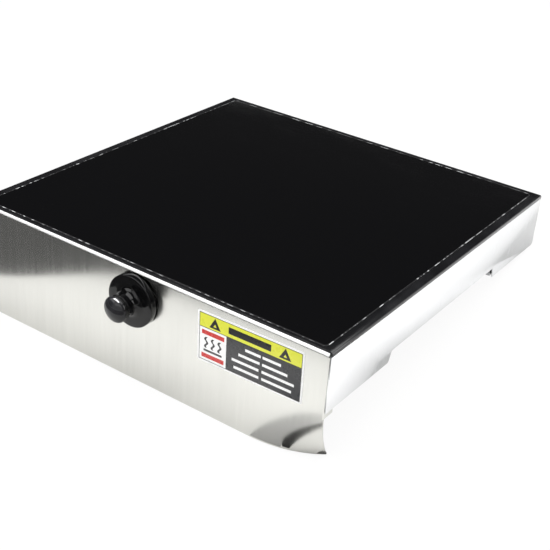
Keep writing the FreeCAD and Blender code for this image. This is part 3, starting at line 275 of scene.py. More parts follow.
def either_side(color: Triple, contrast: float) -> tuple[Triple, Triple]:
    """Give a colour made darker and made lighter by the same share."""
    return shade(color, 1.0 - contrast), shade(color, 1.0 + contrast)


# ---------------------------------------------------------------------------------------------------
# Finishes


@dataclass(frozen=True)
class Finish:
    """What all finishes have: a name, the record's slot that they stand for, and a colour."""

    name: str
    slot: str
    color: Triple

    def graph(self) -> Graph:
        """Make the finish's nodes."""
        raise NotImplementedError

    def material(self) -> Material:
        """Give the finish's material, made the first time it is asked for."""
        known = bpy.data.materials.get(self.name)
        return known or self.graph().material

    def dress(self, piece: Object) -> Object:
        """Put the finish on a piece.

        Args:
            piece: A new piece or a CAD node.

        Returns:
            The same piece.
        """
        material = self.material()
        if not piece.material_slots:
            piece.data.materials.append(material)
        for slot in piece.material_slots:
            slot.material = material
        return piece


@dataclass(frozen=True)
class BrushedMetal(Finish):
    """Sheet metal with fine brushed grain."""

    grain: Grain = Grain.UPRIGHT
    roughness: float = 0.2
    spread: float = 0.08
    fine: float = 2600.0
    coarse: float = 240.0
    hair_share: float = 0.55
    cloud: float = 9.0
    cloud_share: float = 0.25
    contrast: float = 0.1
    depth: float = 6e-6
    stretch: float = 0.0

    def graph(self) -> Graph:
        """Make streaks that vary colour, roughness and height across the grain."""
        graph = Graph(self.name)
        hair = graph.noise(self.fine, self.grain.value, 1.0)
        band = graph.noise(self.coarse, self.grain.value, 3.0)
        cloud = graph.noise(self.cloud, detail=2.0)
        streak = hair * self.hair_share + band * (1.0 - self.hair_share)
        tone = graph.range(streak + (cloud - 0.5) * self.cloud_share, *USUAL, 0.0, 1.0)
        smooth, rough = self.roughness - self.spread, self.roughness + self.spread
        graph.set(
            Base_Color=graph.blend(tone, *either_side(self.color, self.contrast)),
            Metallic=1.0,
            Roughness=graph.range(streak, *USUAL, smooth, rough),
            Anisotropic=self.stretch,
        )
        graph.bump(hair * 0.7 + band * 0.3, self.depth)
        return graph


@dataclass(frozen=True)
class BlackGlass(Finish):
    """Polished black glass-ceramic with faint wipe marks."""

    roughness: float = 0.05
    gloss: float = 0.22
    wipe: float = 14.0
    wipe_stretch: Triple = (1.0, 2.6, 1.0)
    smear: float = 0.07
    speck: float = 620.0
    speck_share: float = 0.35
    speck_color: Triple = (0.05, 0.05, 0.055)
    wave: float = 6.0
    wave_depth: float = 4e-6

    def graph(self) -> Graph:
        """Make the deep black, the wipe marks and the slight waviness of drawn glass."""
        graph = Graph(self.name)
        wipe = graph.noise(self.wipe, self.wipe_stretch, 4.0)
        speck = graph.range(graph.noise(self.speck, detail=2.0), 0.72, 0.8, 0.0, self.speck_share)
        graph.set(
            Base_Color=graph.blend(speck, self.color, self.speck_color),
            Roughness=graph.range(wipe, 0.35, 0.7, self.roughness, self.roughness + self.smear),
            IOR=1.5,
            Specular_IOR_Level=self.gloss,
        )
        graph.bump(graph.noise(self.wave, detail=1.0), self.wave_depth)
        return graph


@dataclass(frozen=True)
class Enamel(Finish):
    """Fired black enamel on steel, with its faint orange peel."""

    roughness: float = 0.16
    wear: float = 0.12
    peel: float = 700.0
    peel_depth: float = 6e-6
    cloud: float = 24.0
    cloud_lift: float = 2.2
    coat: float = 0.3

    def graph(self) -> Graph:
        """Make the gloss coat, its uneven depth and a little wear."""
        graph = Graph(self.name)
        cloud = graph.noise(self.cloud, detail=4.0)
        pale = shade(self.color, self.cloud_lift)
        graph.set(
            Base_Color=graph.blend(graph.range(cloud, 0.35, 0.75, 0.0, 1.0), self.color, pale),
            Roughness=graph.range(cloud, *USUAL, self.roughness, self.roughness + self.wear),
            Coat_Weight=self.coat,
            Coat_Roughness=self.wear,
        )
        graph.bump(graph.noise(self.peel, detail=1.0), self.peel_depth)
        return graph


@dataclass(frozen=True)
class SeamBead(Finish):
    """Dark sealant with bright flecks painted into its colour: painted glints where the seam catches light,
    so that it reads as a thin broken silver line.
    """

    painted_glint: Triple = (0.88, 0.89, 0.9)
    side: float = 190.8 * MM
    front: float = -193.0 * MM
    back: float = 191.8 * MM
    line: float = 0.34 * MM
    run: float = 16.0
    dash: float = 150.0
    relief: float = 1e-4

    def graph(self) -> Graph:
        """Paint long and short glints, as bright flecks in the colour, along the middle of the bead."""
        graph = Graph(self.name)
        parts = graph.node("ShaderNodeSeparateXYZ", links={0: graph.place})
        x, y = Signal(graph, parts.outputs[0]), Signal(graph, parts.outputs[1])
        middle = (abs(abs(x) - self.side) < self.line).either(abs(y - self.front) < self.line)
        middle = middle.either(abs(y - self.back) < self.line)
        run = graph.range(graph.noise(self.run, detail=2.0), 0.42, 0.58, 0.15, 1.0)
        dash = graph.noise(self.dash, detail=3.0)
        # painted highlight: near-white glints put into the base colour where the seam catches light
        painted_glint = graph.range(dash, 0.5, 0.56, 0.0, 1.0) * run * middle
        graph.set(
            Base_Color=graph.blend(painted_glint, self.color, self.painted_glint),
            Roughness=graph.range(painted_glint, 0.0, 1.0, 0.55, 0.3),
        )
        graph.bump(dash, self.relief)
        return graph


@dataclass(frozen=True)
class GlossPlastic(Finish):
    """Moulded phenolic with a polished skin, a little duller where it is handled."""

    roughness: float = 0.05
    gloss: float = 0.32
    marks: float = 160.0
    mark_lift: float = 1.9
    dulling: float = 0.08
    texture: float = 900.0
    texture_depth: float = 2e-6

    def graph(self) -> Graph:
        """Make the skin, its handling marks and a trace of mould texture."""
        graph = Graph(self.name)
        handled = graph.noise(self.marks, detail=4.0)
        pale = shade(self.color, self.mark_lift)
        graph.set(
            Base_Color=graph.blend(graph.range(handled, 0.4, 0.8, 0.0, 1.0), self.color, pale),
            Roughness=graph.range(handled, 0.35, 0.7, self.roughness, self.roughness + self.dulling),
            Specular_IOR_Level=self.gloss,
        )
        graph.bump(graph.noise(self.texture, detail=1.0), self.texture_depth)
        return graph


@dataclass(frozen=True)
class Moulding(Finish):
    """Matte moulded plastic or unglazed ceramic, with a fine grain."""

    roughness: float = 0.5
    grain: float = 1600.0
    grain_depth: float = 4e-5
    mottle: float = 120.0
    contrast: float = 0.15

    def graph(self) -> Graph:
        """Make the mottled colour and the fine grain."""
        graph = Graph(self.name)
        mottle = graph.noise(self.mottle, detail=4.0)
        grain = graph.noise(self.grain, detail=2.0)
        tone = graph.range(mottle, *USUAL, 0.0, 1.0)
        graph.set(
            Base_Color=graph.blend(tone, *either_side(self.color, self.contrast)),
            Roughness=graph.range(grain, *USUAL, self.roughness - 0.08, self.roughness + 0.1),
        )
        graph.bump(grain, self.grain_depth)
        return graph


@dataclass(frozen=True)
class PlatedMetal(Finish):
    """Plated or turned small hardware, with a cloudy, slightly spangled skin."""

    roughness: float = 0.32
    spangle: float = 260.0
    spangle_share: float = 0.4
    cloud: float = 60.0
    cloud_depth: float = 1e-5

    def graph(self) -> Graph:
        """Make the spangle and the clouding."""
        graph = Graph(self.name)
        crystals = graph.node("ShaderNodeTexVoronoi", links={"Vector": graph.place, "Scale": self.spangle})
        spangle = graph.node("ShaderNodeSeparateColor", links={0: crystals.outputs["Color"]})
        cloud = graph.noise(self.cloud, detail=3.0)
        tone = Signal(graph, spangle.outputs[0]) * self.spangle_share + cloud * (1.0 - self.spangle_share)
        graph.set(
            Base_Color=graph.blend(tone, shade(self.color, 0.8), shade(self.color, 1.12)),
            Metallic=1.0,
            Roughness=graph.range(tone, 0.2, 0.8, self.roughness - 0.08, self.roughness + 0.1),
        )
        graph.bump(cloud, self.cloud_depth)
        return graph


@dataclass(frozen=True)
class Fibre(Finish):
    """Pressed ceramic fibre or woven tape: chalky, with a felted surface."""

    felt: float = 1400.0
    felt_depth: float = 2e-4
    stain: float = 35.0
    roughness: float = 0.9

    def graph(self) -> Graph:
        """Make the felted surface and its stains."""
        graph = Graph(self.name)
        felt = graph.noise(self.felt, detail=5.0)
        stain = graph.noise(self.stain, detail=3.0)
        tone = graph.range(felt * 0.5 + stain * 0.5, 0.35, 0.65, 0.0, 1.0)
        stained = shade(self.color, 0.8)
        graph.set(Base_Color=graph.blend(tone, stained, self.color), Roughness=self.roughness)
        graph.bump(felt, self.felt_depth)
        return graph


@dataclass(frozen=True)
class Sleeve(Finish):
    """Braided sleeve on a lead."""

    strand: float = 1100.0
    strand_depth: float = 1.5e-4
    tilt: float = 0.7

    def graph(self) -> Graph:
        """Make the braid from two sets of slanting waves."""
        graph = Graph(self.name)
        height: Signal | None = None
        for tilt in (self.tilt, -self.tilt):
            links = {"Vector": graph.place, "Rotation": (tilt, tilt, tilt)}
            turned_place = graph.node("ShaderNodeMapping", links=links).outputs[0]
            wave = graph.node("ShaderNodeTexWave", links={"Vector": turned_place, "Scale": self.strand / 3})
            strand = Signal(graph, wave.outputs["Fac"])
            height = strand if height is None else height.either(strand)
        graph.set(
            Base_Color=graph.blend(height, shade(self.color, 0.55), self.color),
            Roughness=graph.range(height, 0.0, 1.0, 0.85, 0.65),
        )
        graph.bump(height, self.strand_depth)
        return graph


@dataclass(frozen=True)
class Area:
    """A rectangle of a label, in metres from the label's middle."""

    left: float
    right: float
    low: float
    high: float


@dataclass
class Artwork:
    """What is printed on a label, one colour over another."""

    graph: Graph
    u: Signal
    v: Signal
    color: Source

    def inside(self, area: Area) -> Signal:
        """Give a mask of a rectangle."""
        return self.u.between(area.left, area.right) * self.v.between(area.low, area.high)

    def lay(self, mask: Signal, color: Source) -> None:
        """Print a colour where a mask is 1."""
        self.color = self.graph.blend(mask, self.color, color)

    def rectangle(self, area: Area, color: Source) -> None:
        """Print a rectangle."""
        self.lay(self.inside(area), color)

    def triangle(self, middle: float, low: float, high: float, color: Source) -> None:
        """Print an upright triangle, from its base to its tip."""
        side = abs(self.u - middle) * TRIANGLE_SLOPE
        self.lay((self.v > low) * ((self.v + side) < high), color)


@dataclass(frozen=True)
class PrintedFilm(Finish):
    """Front label: plain shapes and bars printed on glossy film, with no lettering."""

    centre: Triple = (0.0, 0.0, 0.0)
    turn: float = 0.0
    width: float = 107.4 * MM
    height: float = 49.2 * MM
    white: Triple = (0.97, 0.97, 0.97)
    ink: Triple = (0.018, 0.018, 0.02)
    panel: Triple = (0.034, 0.035, 0.038)
    red: Triple = (0.62, 0.02, 0.015)
    line: float = 0.6 * MM
    border: float = 1.8 * MM
    header: float = 0.28
    sign_place: float = 0.33
    sign: Span = (0.16, 0.94)
    hollow: Span = (0.3, 0.52)
    title_reach: float = 0.2
    title: Span = (0.28, 0.76)
    square: float = 28 * MM
    pad: float = 2.2 * MM
    red_bar: float = 4.2 * MM
    plate: float = 2 * MM
    wave_start: float = 3.4 * MM
    wave_pitch: float = 7 * MM
    wave_half: float = 1.1 * MM
    wave_rate: float = 900.0
    bars: tuple[float, ...] = (0.24, 0.33, 0.42, 0.39)
    first_row: float = 0.17
    row_pitch: float = 0.22
    bar_half: float = 1.3 * MM
    gap: Span = (0.12, 0.02)
    gap_half: float = 2 * MM
    wear: float = 90.0

    def graph(self) -> Graph:
        """Print the border, the header, the pictogram panel and the panel of bars."""
        graph = Graph(self.name)
        links = {"Vector": graph.place, "Location": self.centre, "Rotation": (0.0, self.turn, 0.0)}
        flat = graph.node("ShaderNodeMapping", {"vector_type": "TEXTURE"}, links).outputs[0]
        parts = graph.node("ShaderNodeSeparateXYZ", links={0: flat})
        art = Artwork(graph, Signal(graph, parts.outputs[0]), Signal(graph, parts.outputs[2]), self.white)
        right, top = self.width / 2 - self.border, self.height / 2 - self.border
        inner, roof = right - self.line, top - self.line
        split = top - self.header * self.height
        edge = self.square - inner
        art.rectangle(Area(-right, right, -top, top), self.ink)
        art.rectangle(Area(-inner, inner, split + self.line, roof), self.color)
        self.print_header(art, split, roof)
        self.print_square(art, Area(-inner, edge, -roof, split))
        art.rectangle(Area(edge + self.line, inner, -roof, split), self.panel)
        self.print_bars(art, Area(edge, inner, -roof, split))
        worn = graph.noise(self.wear, detail=3.0)
        graph.set(
            Base_Color=art.color,
            Roughness=graph.range(worn, *USUAL, 0.22, 0.36),
            Coat_Weight=0.25,
            Coat_Roughness=0.15,
        )
        graph.bump(worn, 1e-5)
        return graph

    def print_header(self, art: Artwork, low: float, high: float) -> None:
        """Print two hollow triangles and a plain bar between them on the yellow band."""
        tall = high - low
        for middle in (-self.sign_place * self.width, self.sign_place * self.width):
            for span, color in ((self.sign, self.ink), (self.hollow, self.color)):
                art.triangle(middle, low + span[0] * tall, low + span[1] * tall, color)
        reach = self.title_reach * self.width
        art.rectangle(Area(-reach, reach, low + self.title[0] * tall, low + self.title[1] * tall), self.ink)

    def print_square(self, art: Artwork, area: Area) -> None:
        """Print red bars at the top and bottom of a white square, and three heat waves over a plate."""
        art.rectangle(area, self.white)
        left, right = area.left + self.pad, area.right - self.pad
        for low in (area.low + self.pad, area.high - self.pad - self.red_bar):
            art.rectangle(Area(left, right, low, low + self.red_bar), self.red)
        inset = self.pad * 2 + self.red_bar
        floor = area.low + inset
        art.rectangle(Area(left + self.pad, right - self.pad, floor, floor + self.plate), self.ink)
        sway = art.graph.math("SINE", art.v * self.wave_rate) * self.wave_half
        middle = (area.left + area.right) / 2
        for offset in (-self.wave_pitch, 0.0, self.wave_pitch):
            wave = abs(art.u - (middle + offset) - sway) < self.wave_half
            art.lay(wave * art.v.between(floor + self.wave_start, area.high - inset), self.ink)

    def print_bars(self, art: Artwork, area: Area) -> None:
        """Print white bars of different lengths on the dark panel, each with a short gap in it."""
        middle = (area.left + area.right) / 2
        for row, share in enumerate(self.bars):
            level = area.high - (area.high - area.low) * (self.first_row + self.row_pitch * row)
            half = share * (area.right - area.left)
            bar = Area(middle - half, middle + half, level - self.bar_half, level + self.bar_half)
            start, end = (middle - half * part for part in self.gap)
            gap = art.inside(Area(start, end, level - self.gap_half, level + self.gap_half))
            art.lay(art.inside(bar) * (1 - gap), self.white)


@dataclass(frozen=True)
class Palette:
    """Every finish of the burner."""

    glass: Finish = BlackGlass("black_glass_ceramic", "black_glass", (0.004, 0.004, 0.0045))
    enamel: Finish = Enamel("black_enamel_on_steel", "black_enamel", (0.008, 0.008, 0.009))
    seam: Finish = SeamBead("seam_bead", "sealant", (0.008, 0.008, 0.009))
    tape: Finish = Fibre("gasket_tape", "gasket_tape", (0.62, 0.6, 0.55))
    trim: Finish = BrushedMetal(
        "bright_trim",
        "polished_steel",
        (0.98, 0.98, 0.98),
        grain=Grain.ACROSS,
        roughness=0.42,
        spread=0.04,
        contrast=0.02,
    )
    apron: Finish = BrushedMetal(
        "brushed_apron_steel",
        "brushed_apron",
        (0.735, 0.732, 0.7),
        spread=0.04,
        contrast=0.05,
        stretch=0.8,
    )
    side: Finish = BrushedMetal(
        "side_panel_steel",
        "side_steel",
        (0.9, 0.905, 0.92),
        roughness=0.24,
        spread=0.05,
        contrast=0.03,
    )
    base: Finish = BrushedMetal(
        "dull_base_steel",
        "base_steel",
        (0.6, 0.61, 0.62),
        grain=Grain.DEEP,
        roughness=0.42,
        spread=0.1,
        contrast=0.12,
    )
    zinc: Finish = PlatedMetal("zinc_plate", "zinc_steel", (0.62, 0.62, 0.6))
    brass: Finish = PlatedMetal("turned_brass", "brass", (0.72, 0.56, 0.26), 0.25, 90.0)
    knob: Finish = GlossPlastic("gloss_phenolic", "knob_plastic", (0.003, 0.003, 0.0033))
    moulding: Finish = Moulding("dark_moulding", "moulded_plastic", (0.1, 0.09, 0.08))
    wool: Finish = Fibre("pressed_fibre", "insulation", (0.86, 0.84, 0.78))
    ribbon: Finish = PlatedMetal("oxidised_ribbon", "heater_alloy", (0.33, 0.3, 0.28), 0.55, 400.0)
    steatite: Finish = Moulding("unglazed_steatite", "steatite", (0.8, 0.78, 0.73), 0.6)
    nylon: Finish = Moulding("gland_nylon", "gland_nylon", (0.03, 0.03, 0.032), 0.42)
    sleeve: Finish = Sleeve("glass_braid", "lead_sleeve", (0.75, 0.73, 0.68))
    earth: Finish = Sleeve("green_braid", "earth_sleeve", (0.2, 0.42, 0.16))


# ---------------------------------------------------------------------------------------------------
# Making meshes


def finished(
    mesh: BMesh,
    name: str,
    finish: Finish,
    body: Body,
    stands_for: Sequence[str] = (),
    crease: float = 34.0,
) -> Object:
    """Turn a bmesh into a dressed piece that rides on a body.

    Args:
        mesh: The shape, in place. It is freed.
        name: The piece's name.
        finish: Its finish.
        body: What it rides on.
        stands_for: The CAD nodes that it replaces.
        crease: Edges sharper than this many degrees stay sharp.

    Returns:
        The piece.
    """
    data = bpy.data.meshes.new(name)
    mesh.to_mesh(data)
    mesh.free()
    data.polygons.foreach_set("use_smooth", [True] * len(data.polygons))
    data.set_sharp_from_angle(angle=math.radians(crease))
    piece = bpy.data.objects.new(name, data)
    bpy.context.scene.collection.objects.link(piece)
    finish.dress(piece)
    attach(piece, body.value)
    if stands_for:
        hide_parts(*stands_for)
    return piece


def round_edges(mesh: BMesh, edges: list[BMEdge], radius: float, steps: int = 3) -> None:
    """Round edges.

    Args:
        mesh: The shape.
        edges: The edges to round.
        radius: The rounding.
        steps: Segments of the rounding.
    """
    bmesh.ops.bevel(
        mesh,
        geom=edges,
        offset=radius,
        offset_type="OFFSET",
        segments=steps,
        profile=0.5,
        affect="EDGES",
        clamp_overlap=True,
        material=-1,
    )


def straight_edges(mesh: BMesh, along: int) -> list[BMEdge]:
    """Give the edges that run along one axis, 0 for X, 1 for Y and 2 for Z."""
    found = []
    for edge in mesh.edges:
        run = edge.verts[1].co - edge.verts[0].co
        if abs(run[along]) > 0.999 * run.length:
            found.append(edge)
    return found


def bar(low: Vector, high: Vector) -> BMesh:
    """Make a box between two corners, for further shaping."""
    mesh = bmesh.new()
    bmesh.ops.create_cube(mesh, size=1.0)
    bmesh.ops.scale(mesh, vec=high - low, verts=mesh.verts)
    bmesh.ops.translate(mesh, vec=(low + high) / 2, verts=mesh.verts)
    return mesh


@dataclass(frozen=True)
class Corner:
    """A corner of a turned profile: its radius, its place along the axis, and its rounding."""

    radius: float
    along: float
    rounding: float = 0.0
    steps: int = 4


def turned(corners: Sequence[Corner], place: Matrix, steps: int = 96) -> BMesh:
    """Turn a profile about an axis and round its corners.

    Args:
        corners: The profile, from one end to the other; it closes on itself if it is off the axis.
        place: What takes the turned shape, made along +Z, to its place.
        steps: Facets round the axis.

    Returns:
        The closed shape.
    """
    mesh = bmesh.new()
    spots = [mesh.verts.new((corner.radius, 0.0, corner.along)) for corner in corners]
    wires = [mesh.edges.new(pair) for pair in zip(spots, spots[1:])]
    if corners[0].radius > CLOSE or corners[-1].radius > CLOSE:
        wires.append(mesh.edges.new((spots[-1], spots[0])))
    bmesh.ops.spin(
        mesh,
        geom=[*spots, *wires],
        axis=(0.0, 0.0, 1.0),
        cent=(0.0, 0.0, 0.0),
        angle=math.tau,
        steps=steps,
        use_merge=True,
    )
    bmesh.ops.remove_doubles(mesh, verts=mesh.verts, dist=CLOSE / 5)
    loose = [face for face in mesh.faces if face.calc_area() < 1e-14]
    bmesh.ops.delete(mesh, geom=loose, context="FACES_ONLY")
    rings: list[tuple[Corner, list[BMEdge]]] = []
    for corner in corners:
        if corner.rounding > 0.0:
            rings.append((corner, [edge for edge in mesh.edges if on_ring(edge, corner)]))
    for corner, ring in rings:
        round_edges(mesh, ring, corner.rounding, corner.steps)
    bmesh.ops.recalc_face_normals(mesh, faces=mesh.faces)
    mesh.transform(place)
    return mesh


def on_ring(edge: BMEdge, corner: Corner) -> bool:
    """Tell whether an edge runs round the ring that a profile's corner makes."""
    for spot in edge.verts:
        radius = math.hypot(spot.co.x, spot.co.y)
        if abs(radius - corner.radius) > CLOSE or abs(spot.co.z - corner.along) > CLOSE:
            return False
    return True


def softened(node: str, name: str, finish: Finish, width: float, sharp: float = 35.0) -> Object:
    """Copy a CAD node's shape and break its sharp edges, as folded and moulded parts have them.

    Args:
        node: The CAD node, which the piece replaces.
        name: The piece's name.
        finish: Its finish.
        width: How wide the edges are broken.
        sharp: Edges sharper than this many degrees are broken.

    Returns:
        The piece.
    """
    mesh = bmesh.new()
    mesh.from_mesh(frame["nodes"][node].data)
    bmesh.ops.remove_doubles(mesh, verts=mesh.verts, dist=2e-6)
    flat = math.radians(0.6)
    bmesh.ops.dissolve_limit(mesh, angle_limit=flat, verts=mesh.verts, edges=mesh.edges)
    limit = math.radians(sharp)
    edges = [edge for edge in mesh.edges if len(edge.link_faces) == 2 and edge.calc_face_angle(0.0) > limit]
    round_edges(mesh, edges, width, 2)
    bmesh.ops.dissolve_degenerate(mesh, dist=1e-7, edges=mesh.edges)
    return finished(mesh, name, finish, Body.HOUSING, [node])


def facing(forward: Vector, origin: Vector) -> Matrix:
    """Give the matrix that takes +Z to a direction and the origin to a point."""
    return Matrix.Translation(origin) @ forward.to_track_quat("Z", "Y").to_matrix().to_4x4()


# ---------------------------------------------------------------------------------------------------
# Sub-assemblies


@dataclass
class CookingTop:
    """Glass pane, the seam round it and the black rim."""

    finishes: Palette
    corner: float = 3.4 * MM
    arris: float = 0.25 * MM
    rim_edge: float = 0.15 * MM

    def build(self) -> None:
        """Make the pane, and dress the seam, the gasket and the rim."""
        self.pane()
        self.finishes.seam.dress(frame["nodes"]["glass_seal"])
        self.finishes.tape.dress(frame["nodes"]["glass_gasket"])
        softened("top_frame", "top_rim", self.finishes.enamel, self.rim_edge)

    def pane(self) -> Object:
        """Make the pane, with rounded corners and ground edges."""
        low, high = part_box("glass_top")
        mesh = bar(low, high)
        round_edges(mesh, straight_edges(mesh, 2), self.corner, 8)
        top = [edge for edge in mesh.edges if all(abs(spot.co.z - high.z) < CLOSE for spot in edge.verts)]
        round_edges(mesh, top, self.arris, 3)
        return finished(mesh, "ceramic_pane", self.finishes.glass, Body.HOUSING, ["glass_top"])


@dataclass
class FrontTrim:
    """Bright strip along the front of the top."""

    finishes: Palette
    slope: float = 1.25 * MM
    drop: float = 1.35 * MM
    reach_down: float = 0.6 * MM
    edge: float = 0.3 * MM

    def build(self) -> None:
        """Make the strip, whose face leans back a little and whose top is a hair below the rim's."""
        low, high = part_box("front_trim")
        low = low - Vector((0.0, 0.0, self.reach_down))
        high = high - Vector((0.0, 0.0, self.drop))
        mesh = bar(low, high)
        crest = [spot for spot in mesh.verts if spot.co.y < low.y + CLOSE and spot.co.z > high.z - CLOSE]
        bmesh.ops.translate(mesh, vec=(0.0, self.slope, 0.0), verts=crest)
        round_edges(mesh, straight_edges(mesh, 0), self.edge, 4)
        finished(mesh, "trim_strip", self.finishes.trim, Body.HOUSING, ["front_trim"])


@dataclass
class HangingApron:
    """Front panel: one folded sheet whose lower right corner curls back."""

    finishes: Palette
    sheet: float = 1.2 * MM
    gap: float = 0.9 * MM
    curl_width: float = 73.2 * MM
    curl_height: float = 49.9 * MM
    curl_radius: float = 46.0 * MM
    blunt: float = 0.03
    strips: int = 30
    flange: float = 12.0 * MM
    flange_top: float = -7.0 * MM
    hole: float = 5.05 * MM
    hole_square: float = 8.0 * MM
    fold: float = 1.3 * MM
    arris: float = 0.22 * MM

    def build(self) -> None:
        """Cut the sheet, fold its flanges, roll its corner and give it its thickness."""
        low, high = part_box("apron")
        self.low = Vector((low.x, low.y, low.z))
        self.high = Vector((high.x, low.y, high.z - self.gap))
        mesh = self.blank()
        self.bore(mesh)
        self.fold_sides(mesh)
        self.roll_corner(mesh)
        self.face_forward(mesh)
        piece = finished(mesh, "apron_sheet", self.finishes.apron, Body.HOUSING, ["apron"])
        wall = piece.modifiers.new("sheet", "SOLIDIFY")
        wall.thickness = self.sheet
        wall.offset = -1.0
        wall.use_even_offset = True
        edge = piece.modifiers.new("arris", "BEVEL")
        edge.width = self.arris
        edge.segments = 2
        edge.limit_method = "ANGLE"
        edge.angle_limit = math.radians(40.0)
        flat = piece.modifiers.new("flat_faces", "WEIGHTED_NORMAL")
        flat.keep_sharp = True

    def bend(self) -> tuple[Vector, Vector, float]:
        """Give a point on the bend line, the direction across it to the corner, and the corner's reach."""
        slope = math.hypot(self.curl_width, self.curl_height)
        across = Vector((self.curl_height, 0.0, -self.curl_width)) / slope
        start = Vector((self.high.x - self.curl_width, self.low.y, self.low.z))
        return start, across, self.curl_width * self.curl_height / slope

    def blank(self) -> BMesh:
        """Make the flat sheet, divided across the corner that curls and at the flanges' ends."""
        mesh = bmesh.new()
        middle = (self.low + self.high) / 2
        turn = Matrix.Translation(middle) @ Matrix.Rotation(math.pi / 2, 4, "X")
        bmesh.ops.create_grid(mesh, x_segments=1, y_segments=1, size=0.5, matrix=turn)
        wide, tall = self.high.x - self.low.x, self.high.z - self.low.z
        bmesh.ops.scale(mesh, vec=(wide, 1.0, tall), verts=mesh.verts, space=Matrix.Translation(-middle))
        start, across, reach = self.bend()
        end = reach * (1.0 - self.blunt)
        for step in range(self.strips + 1):
            self.divide(mesh, start + across * (end * step / self.strips), across, step == self.strips)
        up = Vector((0.0, 0.0, 1.0))
        for level in (self.low.z + self.curl_height + self.sheet, self.flange_top):
            self.divide(mesh, Vector((0.0, self.low.y, level)), up)
        return mesh

    def divide(self, mesh: BMesh, point: Vector, normal: Vector, trim: bool = False) -> None:
        """Divide the sheet along a line, and take away what is beyond it where trim is true."""
        bmesh.ops.bisect_plane(
            mesh,
            geom=[*mesh.verts, *mesh.edges, *mesh.faces],
            dist=1e-7,
            plane_co=point,
            plane_no=normal,
            clear_outer=trim,
        )

    def bore(self, mesh: BMesh) -> None:
        """Make the round hole behind the knob."""
        axis = knob_axis()
        reach = self.hole_square
        right, up = Vector((1.0, 0.0, 0.0)), Vector((0.0, 0.0, 1.0))
        for side in (-reach, reach):
            self.divide(mesh, axis + right * side, right)
            self.divide(mesh, axis + up * side, up)
        square = [face for face in mesh.faces if (face.calc_center_median() - axis).length < reach / 4]
        rim = list({edge for face in square for edge in face.edges})
        bmesh.ops.delete(mesh, geom=square, context="FACES_ONLY")
        bmesh.ops.subdivide_edges(mesh, edges=rim, cuts=7)
        outer = [edge for edge in mesh.edges if edge.is_boundary and self.near_hole(edge, axis)]
        place = Matrix.Translation(axis) @ Matrix.Rotation(math.pi / 2, 4, "X")
        ring = bmesh.ops.create_circle(mesh, cap_ends=False, segments=32, radius=self.hole, matrix=place)
        inner = list({edge for spot in ring["verts"] for edge in spot.link_edges})
        bmesh.ops.bridge_loops(mesh, edges=outer + inner)

    def near_hole(self, edge: BMEdge, axis: Vector) -> bool:
        """Tell whether an edge is on the square that was cut round the hole."""
        limit = self.hole_square * 1.01
        return all(max(abs(spot.co.x - axis.x), abs(spot.co.z - axis.z)) < limit for spot in edge.verts)

    def fold_sides(self, mesh: BMesh) -> None:
        """Fold a flange back along each side and round the folds."""
        foot = self.low.z + self.curl_height + self.sheet
        sides = (self.low.x, self.high.x)
        folds = []
        for edge in mesh.edges:
            places = [spot.co for spot in edge.verts]
            outside = all(min(abs(place.x - side) for side in sides) < CLOSE for place in places)
            inside = all(foot - CLOSE < place.z < self.flange_top + CLOSE for place in places)
            if outside and inside and edge.is_boundary:
                folds.append(edge)
        made = bmesh.ops.extrude_edge_only(mesh, edges=folds)["geom"]
        spots = [item for item in made if isinstance(item, BMVert)]
        bmesh.ops.translate(mesh, vec=(0.0, self.flange + self.sheet, 0.0), verts=spots)
        round_edges(mesh, [edge for edge in folds if edge.is_valid], self.fold, 4)

    def roll_corner(self, mesh: BMesh) -> None:
        """Roll the corner beyond the bend line back on a cylinder."""
        start, across, _ = self.bend()
        for spot in mesh.verts:
            travel = (spot.co - start).dot(across)
            if travel > 0.0:
                turn = travel / self.curl_radius
                spot.co += across * (self.curl_radius * math.sin(turn) - travel)
                spot.co.y += self.curl_radius * (1.0 - math.cos(turn))

    def face_forward(self, mesh: BMesh) -> None:
        """Turn the faces so that the sheet's outside is its front."""
        bmesh.ops.recalc_face_normals(mesh, faces=mesh.faces)
        largest = max(mesh.faces, key=lambda face: face.calc_area())
        if largest.normal.y > 0.0:
            bmesh.ops.reverse_faces(mesh, faces=mesh.faces)


def knob_axis() -> Vector:
    """Give the point where the knob's axis meets the apron's face."""
    return Vector(next(joint["pos_m"] for joint in frame["joints"] if joint["name"] == "knob_turn"))


